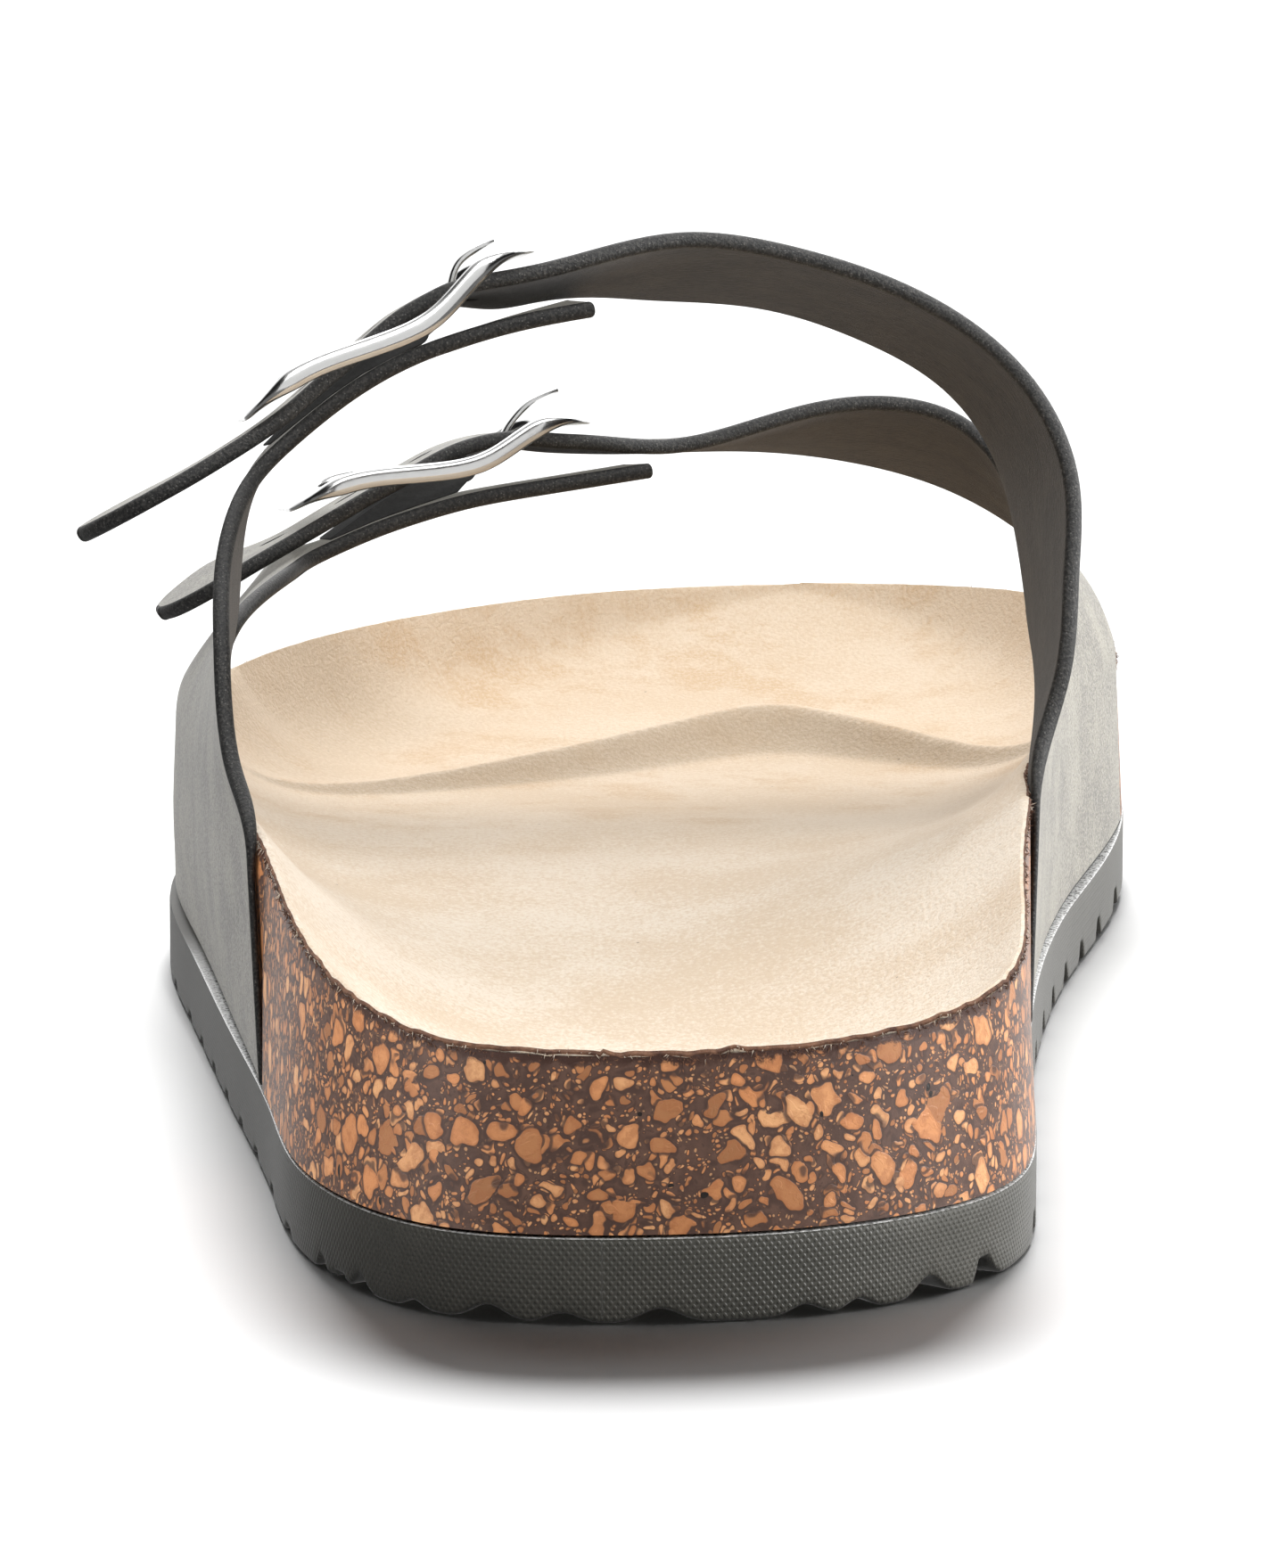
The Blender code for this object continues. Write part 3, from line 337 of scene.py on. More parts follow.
# Form of the sole, shared by the outsole, the cork and the insole
sole = {
    "length": 280.0,
    "outline": [
        (-3.0, 0.0), (16.5, 4.9), (29.6, 17.0), (35.4, 44.0), (36.9, 86.0), (39.4, 121.0), (45.0, 162.0),
        (53.1, 209.0), (51.8, 242.0), (41.0, 267.0), (21.0, 280.0), (-4.5, 272.5), (-26.5, 252.0),
        (-43.5, 223.0), (-53.9, 181.0), (-50.2, 138.0), (-43.1, 90.0), (-37.6, 53.0), (-30.0, 17.0),
        (-19.0, 2.9),
    ],
    "outsoleThick": 7.9,
    "toeSpring": 7.0,
    "springStart": 165.0,
    "fitGap": 0.3,
    "heelEdgeStep": 0.1,
    "strapEdgeStep": 0.1,
    "strapSideLean": 0.2,
    "footThin": 0.6,
    "footThinUp": (28.0, 37.0),
    "footThinRun": (2.0, 15.0),
    "edgeStepBlend": 40.0,
    "recessMargin": 0.9,
    "recessRun": 2.4,
    "recessBlend": 15.0,
    "leastStep": 0.25,
    "wallHeight": 18.0,
    "plainLean": 0.9,
}
# along, middle, lateral rim, medial rim
footbedTable = [
    (0.0, 24.7, 24.9, 24.9), (6.0, 20.4, 25.7, 25.2), (14.0, 17.0, 26.9, 26.1), (28.0, 15.2, 28.8, 27.6),
    (50.0, 14.9, 31.0, 29.6), (68.0, 16.0, 32.4, 31.0), (96.0, 17.8, 29.6, 31.8), (130.0, 18.3, 27.0, 29.8),
    (150.0, 18.3, 26.7, 28.3), (168.0, 17.4, 26.6, 27.35), (190.0, 16.2, 26.9, 27.2),
    (208.0, 15.5, 27.2, 27.2), (224.0, 15.5, 27.2, 27.5), (240.0, 16.4, 27.0, 28.0),
    (260.0, 19.2, 26.6, 27.8), (272.0, 22.6, 26.3, 26.9), (280.0, 25.9, 25.9, 26.1),
]
# share of the strap's foot, lateral lean, medial lean
strapLean = [(0.0, -0.8, -0.5), (0.35, -0.5, -0.4), (0.7, 0.6, 0.3), (1.0, 1.1, 0.7)]
strapFeet = {
    lateral: {"rear": 65.0, "split": 128.0, "front": 196.0},
    medial: {"rear": 95.0, "split": 150.0, "front": 206.0},
}
strapLeaves = {
    lateral: {"rear": 31.4, "split": 28.6, "front": 28.2},
    medial: {"rear": 31.0, "split": 30.0, "front": 28.4},
}
strapHollow = {lateral: 1.0, medial: 0.5}
strapThick, strapBackGap, strapFlushUp = 1.65, 0.3, 20.0
dish = {
    "cupPower": (2.8, 8.5),
    "cupChange": (60.0, 185.0),
    "rimKeep": 6,
    "arch": (4.2, 102.0, 36.0),
    "archShares": (-0.1, 0.85),
    "pad": (0.2, 146.0, 13.0),
    "barFrom": (130.0, 165.0),
    "barPower": 1.7,
}
# toe bar: across, then the crest's place along, its rise, its reach behind and its reach in front
toeBarTable = [
    (-50.0, 175.5, 0.2, 2.2, 4.0), (-40.0, 178.6, 0.9, 2.4, 5.0), (-29.7, 184.4, 1.5, 2.8, 6.0),
    (-17.2, 194.0, 2.6, 3.6, 7.5), (-4.2, 207.5, 3.7, 5.0, 9.0), (5.7, 219.0, 4.3, 6.0, 10.0),
    (12.5, 224.0, 4.4, 6.2, 10.5), (19.0, 222.0, 4.1, 5.8, 10.0), (28.6, 212.6, 3.4, 4.4, 9.0),
    (40.6, 200.9, 1.8, 2.8, 7.0), (50.0, 196.5, 0.4, 2.2, 5.0),
]


def soleEdges(samples=6000):
    corners = np.array(sole["outline"])
    knots = chordKnots(corners, closed=True)
    slopes = splineSlopes(knots, corners, closed=True)
    loop = splineAt(knots, corners, slopes, knots[-1] * np.arange(samples) / samples)
    loop = np.roll(loop, -int(np.argmin(loop[:, 1])), axis=0)
    run = np.roll(loop, -1, axis=0) - np.roll(loop, 1, axis=0)
    run /= np.linalg.norm(run, axis=1, keepdims=True)
    rows = np.stack([loop[:, 1], loop[:, 0], -run[:, 0], run[:, 1]], axis=1)
    toe = int(np.argmax(loop[:, 1]))
    return {lateral: np.vstack([rows[:1], rows[toe:][::-1]]), medial: rows[: toe + 1]}


edges = soleEdges()
heelEnd = float(edges[medial][0, 0])
toeEnd = float(edges[medial][-1, 0])
middleUp = tableCurve(footbedTable, 1)
rimUp = {lateral: tableCurve(footbedTable, 2), medial: tableCurve(footbedTable, 3)}
leanAt = {lateral: tableCurve(strapLean, 1), medial: tableCurve(strapLean, 2)}


def edgeAcross(side, along):
    return np.interp(along, edges[side][:, 0], edges[side][:, 1])


def insideEdge(side, along, inset):
    edge = edges[side]
    across, ahead, aside = (np.interp(along, edge[:, 0], edge[:, column]) for column in (1, 2, 3))
    return across - aside * inset, along - ahead * inset


def spring(along):
    start = sole["springStart"]
    return sole["toeSpring"] * np.maximum(0.0, (along - start) / (sole["length"] - start)) ** 2


def strapShare(side, along):
    feet = strapFeet[side]
    return (along - feet["rear"]) / (feet["front"] - feet["rear"])


def inRecess(side, along):
    feet, margin = strapFeet[side], sole["recessMargin"] + 1e-6
    return (along >= feet["rear"] - margin) & (along <= feet["front"] + margin)


def wallLean(side, along, up):
    rear = strapFeet[side]["rear"]
    near = ease(rear - sole["edgeStepBlend"], rear, along) * (along < rear)
    plain = sole["plainLean"] + (sole["strapSideLean"] - sole["plainLean"]) * near
    lean = np.where(inRecess(side, along), leanAt[side](strapShare(side, along)), plain)
    return lean * (up - sole["outsoleThick"]) / sole["wallHeight"]


def strapStep(side, along, up):
    share = np.clip(strapShare(side, along), 0.0, 1.0)
    low = 1.0 - ease(sole["outsoleThick"], strapFlushUp, up)
    return strapHollow[side] * np.sin(math.pi * share) * low


# the strap is pared thin along its foot's ends
def footThick(side, along, up):
    feet = strapFeet[side]
    fromEnd = np.minimum(along - feet["rear"], feet["front"] - along)
    pared = (1.0 - ease(*sole["footThinUp"], up)) * (1.0 - ease(*sole["footThinRun"], fromEnd))
    return strapThick * (1.0 - sole["footThin"] * pared)


def corkStep(side, along, up):
    rear = strapFeet[side]["rear"]
    heel, strap = sole["heelEdgeStep"], sole["strapEdgeStep"]
    plain = heel + (strap - heel) * ease(rear - sole["edgeStepBlend"], rear, along)
    recess = strapStep(side, along, up) + footThick(side, along, up) + strapBackGap
    return np.where(inRecess(side, along), recess, plain)


def dishEdge(side, along):
    rear, front = strapFeet[side]["rear"], strapFeet[side]["front"]
    blend, margin = sole["recessBlend"], sole["recessMargin"]
    inside = ease(rear - blend, rear - margin, along) * (1.0 - ease(front + margin, front + blend, along))
    plain = sole["strapEdgeStep"] + sole["plainLean"]
    recess = strapThick + strapBackGap + leanAt[side](strapShare(side, along))
    return edgeAcross(side, along) - side * (plain + (recess - plain) * inside)


def strapWall(side, along, up):
    return edgeAcross(side, along) - side * (strapStep(side, along, up) + wallLean(side, along, up))


barCrest, barRise, barBack, barFront = (tableCurve(toeBarTable, column) for column in (1, 2, 3, 4))


def toeBar(across, along):
    past = along - barCrest(across)
    reach = np.where(past > 0.0, barFront(across), barBack(across))
    return barRise(across) * np.exp(-((np.abs(past) / reach) ** dish["barPower"]))


def footbedUp(across, along):
    left, right = dishEdge(lateral, along), dishEdge(medial, along)
    half = np.maximum((right - left) / 2.0, 1.0)
    share = np.clip((across - (left + right) / 2.0) / half, -1.0, 1.0)
    middle = middleUp(along)
    rim = np.where(share > 0, rimUp[medial](along), rimUp[lateral](along))
    heelPower, toePower = dish["cupPower"]
    power = heelPower + (toePower - heelPower) * ease(*dish["cupChange"], along)
    inside = 1.0 - np.abs(share) ** dish["rimKeep"]
    rise, at, length = dish["arch"]
    arch = rise * np.exp(-(((along - at) / length) ** 2)) * ease(*dish["archShares"], share)
    rise, at, length = dish["pad"]
    pad = rise * np.exp(-(((along - at) / length) ** 2)) * (1.0 - share * share)
    bar = toeBar(across, along) * ease(*dish["barFrom"], along)
    return middle + (rim - middle) * np.abs(share) ** power + (arch + pad + bar) * inside


def stations(count, stepped=True):
    half = (toeEnd - heelEnd) / 2.0
    even = heelEnd + half * (1.0 - np.cos(math.pi * (np.arange(count) + 0.5) / count))
    if not stepped:
        return even
    steps = []
    for feet in strapFeet.values():
        rear, front = feet["rear"] - sole["recessMargin"], feet["front"] + sole["recessMargin"]
        steps += [rear - sole["recessRun"], rear, front, front + sole["recessRun"]]
    steps = np.array(steps)
    even = [a for a in even if np.min(np.abs(a - steps)) > sole["leastStep"]]
    return np.array(sorted([*even, *steps]))


# A closed ring round the sole: heel, medial side, toe, lateral side
def soleRing(alongs, step, up):
    ring = []
    for side, along in ((medial, np.concatenate([[heelEnd], alongs, [toeEnd]])), (lateral, alongs[::-1])):
        across, ahead = insideEdge(side, along, step(side, along))
        ring.append(np.stack([across, ahead, up(side, along) + 0.0 * along], axis=1))
    return np.vstack(ring)


def ringRun(ring):
    steps = np.linalg.norm(np.diff(ring[:, :2], axis=0), axis=1)
    return np.concatenate([[0.0], np.cumsum(steps)])


# Points of a dish between the two sides of a ring, and the index grid that joins them to it
def dishGrid(ring, firstRing, firstInside, columns):
    count = len(ring)
    stops = count // 2
    shares = (1.0 - np.cos(math.pi * np.arange(1, columns) / columns)) / 2.0
    shares = 0.5 * shares + 0.5 * np.arange(1, columns) / columns
    right, left = ring[1:stops], ring[count - 1 : stops : -1]
    inside = left[:, None, :] + (right - left)[:, None, :] * shares[None, :, None]
    index = np.zeros((stops + 1, columns + 1), int)
    index[0, :], index[stops, :] = firstRing, firstRing + stops
    index[1:stops, 0] = firstRing + count - np.arange(1, stops)
    index[1:stops, columns] = firstRing + np.arange(1, stops)
    numbers = firstInside + np.arange((stops - 1) * (columns - 1))
    index[1:stops, 1:columns] = numbers.reshape(stops - 1, columns - 1)
    faces = [tuple(dict.fromkeys(face)) for face in gridFaces(index).tolist()]
    return inside.reshape(-1, 3), faces


# Outsole

outsoleLooks = {
    "stations": 540,
    "columns": 96,
    "underside": 0.05,
    "groovePitch": 15.0,
    "grooveFirst": 0.35,
    "grooveWave": 20.0,
    "grooveSwing": 4.0,
    "grooveWidth": 5.2,
    "grooveSides": (0.2, 0.5),
    "grooveStarts": (9.0, 16.0),
    "grooveDepth": 2.2,
    "shallowSide": 0.6,
    "shallowRun": (0.0, 5.0),
    "edgeRound": 0.5,
    "wallShares": (0.25, 0.5, 0.75, 0.96),
    "topRound": [(0.08, 0.08), (0.3, 0.0)],  # inset, drop
    "topWall": 0.3,
    "colour": (0.044, 0.0425, 0.0355),
    "paleColour": (0.067, 0.0635, 0.053),
    # painted shade in the pits of the pressed diamonds
    "pitShade": (0.03, 0.03, 0.027),
    # pale greys of the ledge: partly a painted highlight
    "ledge": (0.12, 0.12, 0.115),
    "paintedLedgeShine": (0.48, 0.48, 0.47),
    "knurlRun": 0.71,
    "knurlUp": 0.9,
    "roughness": 0.46,
    "ledgeRoughness": (0.22, 0.45),
    "dullRoughness": 0.6,
    "bump": (0.55, 0.00014),  # strength, height in metres
    "ledgeBump": (0.3, 0.0001),
    # notches in the heel's lower edge: across, along, rise, half width
    "heelNotches": [
        (-31.6, 20.9, 1.5, 1.3), (-27.8, 12.6, 1.7, 1.6), (-22.8, 5.8, 0.8, 1.6), (-16.0, 1.5, 1.4, 2.2),
        (-9.2, 0.1, 0.9, 2.0), (-0.3, 0.2, 1.3, 2.4), (12.8, 3.2, 1.0, 1.9), (17.7, 5.6, 1.0, 1.6),
        (24.2, 10.4, 1.9, 2.0), (30.0, 17.7, 1.2, 1.6),
    ],
    "dullNoShineSpan": (105.0, 150.0),
    "heelMiddle": (-1.0, 32.0),
    "notchReach": (4.0, 10.0),
}


def grooveAt(across, along):
    looks = outsoleLooks
    pitch = looks["groovePitch"]
    phase = np.abs(((across / looks["grooveWave"]) % 1.0) - 0.5) * 4.0 - 1.0
    bent = along - heelEnd - looks["grooveSwing"] * phase
    off = np.abs((bent / pitch - looks["grooveFirst"] + 0.5) % 1.0 - 0.5) * pitch
    inGroove = 1.0 - ease(*looks["grooveSides"], off / looks["grooveWidth"])
    depth = looks["grooveDepth"] * inGroove * ease(*looks["grooveStarts"], along)
    fromSide = across - edgeAcross(lateral, along)
    depth *= 1.0 - looks["shallowSide"] * (1.0 - ease(*looks["shallowRun"], fromSide))
    for x, y, rise, width in looks["heelNotches"]:
        inward = np.array(looks["heelMiddle"]) - (x, y)
        inward /= np.linalg.norm(inward)
        aside = (across - x) * inward[1] - (along - y) * inward[0]
        into = (across - x) * inward[0] + (along - y) * inward[1]
        notch = rise * np.exp(-((aside / width) ** 2)) * (1.0 - ease(*looks["notchReach"], np.abs(into)))
        depth = np.maximum(depth, notch)
    return depth


def makeRubber():
    looks = outsoleLooks
    material, tree = newMaterial("outsole rubber", {"Roughness": looks["roughness"]})
    place = placeInMm(tree)
    run, up, onWall = layerParts(tree, "wallPlace")
    # small diamonds pressed into the side: two sets of slanted lines
    across = times(tree, run, fullTurn / looks["knurlRun"])
    waves = [timesPlus(tree, up, slant * fullTurn / looks["knurlUp"], across) for slant in (1.0, -1.0)]
    knurl = mathNode(tree, "MAXIMUM", *(mathNode(tree, "SINE", wave) for wave in waves))
    knurl = times(tree, rangeNode(tree, knurl, -0.7, 0.8), onWall)
    pitShadeMask = mathNode(tree, "SUBTRACT", onWall, knurl)
    grit = napped(tree, place, 0.35)
    shade = timesPlus(tree, grit, 0.5, times(tree, cloudy(tree, place, 7.0, 0.7), 0.5))
    colour = mixColour(tree, shade, looks["colour"], looks["paleColour"])
    # painted shade: the pits between the diamonds are painted darker
    colour = mixColour(tree, times(tree, pitShadeMask, 0.25), colour, looks["pitShade"])
    return finishMaterial(material, timesPlus(tree, grit, 0.25, knurl), *looks["bump"], colour)


# The sole's smooth top, seen as a narrow ledge along the straps: its pale grey is partly a painted
# highlight, and its low roughness gives a real reflection
def makeLedge():
    looks = outsoleLooks
    material, tree = newMaterial("outsole ledge", {"Roughness": 0.3})
    place = placeInMm(tree)
    grit = napped(tree, place, 0.4)
    colour = mixColour(tree, rangeNode(tree, grit, 0.35, 0.65), looks["ledge"], looks["paintedLedgeShine"])
    across, along = vectorParts(tree, place)[:2]
    # no painted highlight on the lateral side between these stations: rubber colour and a higher roughness
    dullNoShine = rangeNode(tree, along, *(at + heelInRow[1] for at in looks["dullNoShineSpan"]))
    dullNoShine = times(tree, dullNoShine, mathNode(tree, "LESS_THAN", across, 0.0))
    colour = mixColour(tree, dullNoShine, colour, looks["paleColour"])
    shine = rangeNode(tree, grit, 0.3, 0.8, *looks["ledgeRoughness"])
    roughness = mathNode(tree, "MAXIMUM", shine, times(tree, dullNoShine, looks["dullRoughness"]))
    return finishMaterial(material, grit, *looks["ledgeBump"], colour, roughness)


def makeOutsole():
    looks = outsoleLooks
    thick, bottom, edgeRound = sole["outsoleThick"], looks["underside"], looks["edgeRound"]
    alongs = stations(looks["stations"], stepped=False)

    def lowUp(side, along):
        across, ahead = insideEdge(side, along, 0.0)
        return spring(along) + bottom + grooveAt(across, ahead)

    def wallUp(side, along, share):
        low = lowUp(side, along)
        return low + edgeRound + (spring(along) + thick - looks["topWall"] - low - edgeRound) * share

    def ringAt(inset, up):
        return soleRing(alongs, lambda side, along: inset + 0.0 * along, up)

    rings = []
    for inset, rise in roundProfile(edgeRound, (0, 30, 60, 90)):
        rings.append(ringAt(inset, lambda side, along: lowUp(side, along) + rise))
    for share in looks["wallShares"]:
        rings.append(ringAt(0.0, lambda side, along: wallUp(side, along, share)))
    for inset, drop in looks["topRound"]:
        rings.append(ringAt(inset, lambda side, along: spring(along) + thick - drop))
    count = len(rings[0])
    points = np.vstack(rings)
    faces = wallFaces(len(rings), count)
    walls = len(faces)
    faces += capFaces((len(rings) - 1) * count, count)
    slots = [0] * (walls - count) + [1] * (len(faces) - walls + count)
    inside, under = dishGrid(rings[0], 0, len(points), looks["columns"])
    slots += [0] * len(under)
    inside[:, 2] = spring(inside[:, 1]) + bottom + grooveAt(inside[:, 0], inside[:, 1])
    run = ringRun(rings[3])
    place = []
    for level, ring in enumerate(rings):
        onWall = 1.0 if 2 <= level < len(rings) - 1 else 0.0
        place.append(np.column_stack([run, ring[:, 2] - spring(ring[:, 1]), np.full(count, onWall)]))
    layers = {"wallPlace": np.vstack([*place, np.zeros_like(inside)])}
    points = np.vstack([points, inside])
    rubber = [makeRubber(), makeLedge()]
    outsole = addMesh("outsole_rubber", points, faces + under, rubber, slots, layers=layers)
    dress(outsole, "outsole rubber", "outsole")


makeOutsole()


# Cork footbed

corkLooks = {
    "stations": 300,
    "rows": 20,
    "columns": 20,
    "insoleEdge": 0.5,
    "insoleThick": 1.2,
    "matrix": (0.056, 0.028, 0.020),
    "paleMatrix": (0.105, 0.054, 0.036),
    "paleChip": (0.55, 0.285, 0.125),
    "orangeChip": (0.475, 0.192, 0.068),
    "darkChip": (0.25, 0.104, 0.038),
    "chipRim": (0.27, 0.092, 0.030),
    # painted shade along the top of the wall, under the suede
    "shadeUnderSuede": (0.045, 0.018, 0.011),
    "pores": (0.012, 0.008, 0.006),
    "warpScale": 0.42,
    "warp": 2.6,
    "orangeAt": 0.45,
    "chipSeam": (-0.13, -0.05, 0.0, 0.85),
    "chipHeight": 0.22,
    "layerShift": (17.3, 5.1, 9.7),
    "roughness": 0.45,
    "bump": (0.4, 0.00018),
}


def corkRing(alongs, share, drop, out=0.0):
    def up(side, along):
        foot = spring(along) + sole["outsoleThick"] + sole["fitGap"]
        return foot + (rimUp[side](along) - drop - foot) * share

    def step(side, along):
        return corkStep(side, along, up(side, along)) + wallLean(side, along, up(side, along)) - out

    return soleRing(alongs, step, up)


# layers of chips: cell size, smallest and largest chip as shares of it, turn, stretch
chipLayers = [
    (0.55, 0.10, 0.46, 10.0, (1.2, 1.0, 1.0)),
    (1.0, 0.12, 0.48, 60.0, (1.5, 1.0, 1.0)),
    (1.6, 0.10, 0.48, -35.0, (1.7, 1.0, 1.0)),
    (2.4, 0.10, 0.48, 25.0, (1.5, 1.0, 1.0)),
    (3.4, 0.00, 0.46, 100.0, (1.3, 1.0, 1.0)),
]


def makeCorkMaterial():
    looks = corkLooks
    material, tree = newMaterial("cork", {"Roughness": looks["roughness"]})
    place = placeInMm(tree)
    drop = layerParts(tree, "wallPlace")[2]
    noise = {"Vector": place, "Scale": looks["warpScale"], "Detail": 1.5, "Roughness": 0.5}
    bend = addNode(tree, "ShaderNodeTexNoise", noise).outputs["Color"]
    shift = vectorNode(tree, "SUBTRACT", bend, (0.5, 0.5, 0.5))
    shift = vectorNode(tree, "SCALE", shift, looks["warp"])
    warped = vectorNode(tree, "ADD", place, shift)
    colour = mixColour(tree, cloudy(tree, place, 3.0, 0.75), looks["matrix"], looks["paleMatrix"])
    fine = speckled(tree, warped, 0.42, 0.13, 0.3)
    colour = mixColour(tree, times(tree, fine, 0.6), colour, looks["paleChip"])
    mottled = cloudy(tree, place, 1.1, 0.7)
    stained = rangeNode(tree, mottled, 0.35, 0.85, 0.0, 0.45)
    height = 0.0
    shiftX, shiftY, shiftZ = looks["layerShift"]
    for number, (size, small, large, turn, stretch) in enumerate(chipLayers):
        axis = (0.3 - 0.1 * number, 1.0, 0.2 * number)
        spin = {"Vector": warped, "Axis": axis, "Angle": math.radians(turn)}
        turned = addNode(tree, "ShaderNodeVectorRotate", spin, rotation_type="AXIS_ANGLE").outputs[0]
        drawn = vectorNode(tree, "DIVIDE", turned, stretch)
        moved = vectorNode(tree, "ADD", drawn, (shiftX * number, shiftY, shiftZ))
        chips = addNode(tree, "ShaderNodeTexVoronoi", {"Vector": moved, "Scale": 1.0 / size}).outputs
        luck = addNode(tree, "ShaderNodeSeparateColor", {0: chips["Color"]}).outputs
        reach = timesPlus(tree, luck[0], large - small, small)
        depth = mathNode(tree, "SUBTRACT", reach, chips["Distance"])
        there = rangeNode(tree, depth, 0.0, 0.03)
        colour = mixColour(tree, rangeNode(tree, depth, *looks["chipSeam"]), colour, looks["matrix"])
        tones = addNode(tree, "ShaderNodeValToRGB", {0: luck[1]})
        ramp = tones.color_ramp.elements
        ramp[0].color = (*looks["darkChip"], 1.0)
        ramp[1].color = (*looks["paleChip"], 1.0)
        ramp.new(looks["orangeAt"]).color = (*looks["orangeChip"], 1.0)
        rimmed = times(tree, rangeNode(tree, depth, 0.14, 0.02), 0.5)
        tone = mixColour(tree, rimmed, tones.outputs[0], looks["chipRim"])
        tone = mixColour(tree, stained, tone, looks["chipRim"])
        colour = mixColour(tree, there, colour, tone)
        height = timesPlus(tree, there, looks["chipHeight"], height)
    pores = speckled(tree, warped, 3.4, 0.34, 0.35)
    colour = mixColour(tree, pores, colour, looks["pores"])
    # painted shade: the top of the wall is painted dark, in a ragged band, under the suede's edge
    suedeShade = timesPlus(tree, cloudy(tree, place, 1.4, 0.8), -1.1, drop)
    colour = mixColour(tree, rangeNode(tree, suedeShade, 0.55, -0.15), colour, looks["shadeUnderSuede"])
    height = timesPlus(tree, pores, -1.0, height)
    height = timesPlus(tree, mottled, 0.2, height)
    return finishMaterial(material, height, *looks["bump"], colour)


def makeCork():
    looks = corkLooks
    alongs = stations(looks["stations"])
    rings = [corkRing(alongs, share, looks["insoleEdge"]) for share in np.linspace(0.0, 1.0, looks["rows"])]
    count = len(rings[0])
    points = np.vstack(rings)
    faces = wallFaces(len(rings), count) + capFaces(0, count)
    inside, top = dishGrid(rings[-1], (len(rings) - 1) * count, len(points), looks["columns"])
    inside[:, 2] = footbedUp(inside[:, 0], inside[:, 1]) - looks["insoleThick"]
    run = ringRun(rings[0])
    wall = [np.column_stack([run, ring[:, 2], rings[-1][:, 2] - ring[:, 2]]) for ring in rings]
    layers = {"wallPlace": np.vstack([*wall, np.zeros_like(inside)])}
    points = np.vstack([points, inside])
    cork = addMesh("cork_body", points, faces + top, [makeCorkMaterial()], layers=layers)
    dress(cork, "cork", "cork_footbed")


makeCork()


# Suede insole

insoleLooks = {
    "stations": 430,
    "columns": 110,
    # rings round the rim: drop below it, reach outwards, share of the wear
    "rimRings": [(0.5, 0.0, 1.0), (0.25, 0.08, 1.0), (0.04, -0.12, 0.7), (0.0, -0.45, 0.4)],
    "raggedUp": (1.3, 0.13, 3),  # step, size, seed
    "raggedOut": [(0.8, 0.07, 5), (3.0, 0.06, 7)],
    "cleanCut": 0.8,  # the toe end is cut cleanly
    "cleanFrom": (110.0, 170.0),
    "rimBlend": 3.0,
    "thick": 1.1,
    "cream": (0.80, 0.70, 0.58),
    "tan": (0.68, 0.54, 0.395),
    "toeTan": (0.64, 0.49, 0.34),
    "rubbed": (0.56, 0.37, 0.20),
    "toeShare": 0.75,
    "toeFrom": (95.0, 185.0),
    # painted shade on the toe bar's near slope and along the outer toe wall: its colour, share and where it
    # lies
    "laidNap": (0.43, 0.335, 0.235),
    "barShadeShare": 0.7,
    "barShadeSlope": (0.08, 0.26),
    "wallShadeShare": 0.72,
    "wallShadeReach": (24.0, 4.0),
    "wallShadeSpan": (168.0, 196.0, 224.0, 246.0),
    "rim": (0.07, 0.03, 0.02),
    "paleRim": (0.26, 0.13, 0.075),
    "fibres": 3400,
    "brownShare": 0.8,
    "dots": (0.12, 0.07, 0.045),
    "fibreWidth": 0.13,
    "fibreOut": (0.05, 0.45),
    "fibreStray": 0.22,
    "fibreInset": 0.06,
    "fibreRise": [(-0.5, 0.3), (-0.6, 0.25)],  # brown, suede
    "fibreSink": [(0.1, 0.7), (0.0, 0.35)],
    "nap": (0.45, (1.0, 1.6, 1.0)),
    "bump": (0.75, 0.00035),
    "tornBump": (0.8, 0.0003),
}


def makeSuede():
    looks = insoleLooks
    sockets = {"Roughness": 0.95, "Sheen Weight": 0.2, "Sheen Roughness": 0.5, "Specular IOR Level": 0.15}
    material, tree = newMaterial("suede", sockets)
    place = placeInMm(tree)
    fuzz = napped(tree, place, *looks["nap"])
    share = timesPlus(tree, fuzz, 1.9, times(tree, cloudy(tree, place, 22.0, 0.55), 0.55))
    share = rangeNode(tree, share, 0.85, 1.6)
    colour = mixColour(tree, share, looks["cream"], looks["tan"])
    span = [at + heelInRow[1] for at in looks["toeFrom"]]
    toeShare = rangeNode(tree, vectorParts(tree, place)[1], *span, 0.0, looks["toeShare"])
    colour = mixColour(tree, toeShare, colour, mixColour(tree, share, looks["tan"], looks["toeTan"]))
    # warm rubbed patches in the toe half
    patch = rangeNode(tree, cloudy(tree, place, 13.0, 0.7), 0.45, 0.95)
    patch = times(tree, patch, times(tree, toeShare, 0.75))
    patch = times(tree, patch, rangeNode(tree, fuzz, 0.35, 0.6, 0.45, 1.0))
    colour = mixColour(tree, patch, colour, looks["rubbed"])
    # painted shade on the toe bar's near slope and along the outer toe wall
    shadeShare = times(tree, layerParts(tree, "laidNap")[0], rangeNode(tree, fuzz, 0.3, 0.65, 0.8, 1.1))
    colour = mixColour(tree, shadeShare, colour, looks["laidNap"])
    dots = times(tree, speckled(tree, place, 5.0, 0.15, 0.35), 0.7)
    colour = mixColour(tree, dots, colour, looks["dots"])
    return finishMaterial(material, fuzz, *looks["bump"], colour)


# Uneven line along an edge: random values at even steps, joined straight
def ragged(run, step, size, seed):
    luck = np.random.default_rng(seed)
    knots = np.arange(0.0, run[-1] + 2.0 * step, step)
    return np.interp(run, knots, luck.normal(0.0, size, len(knots)))


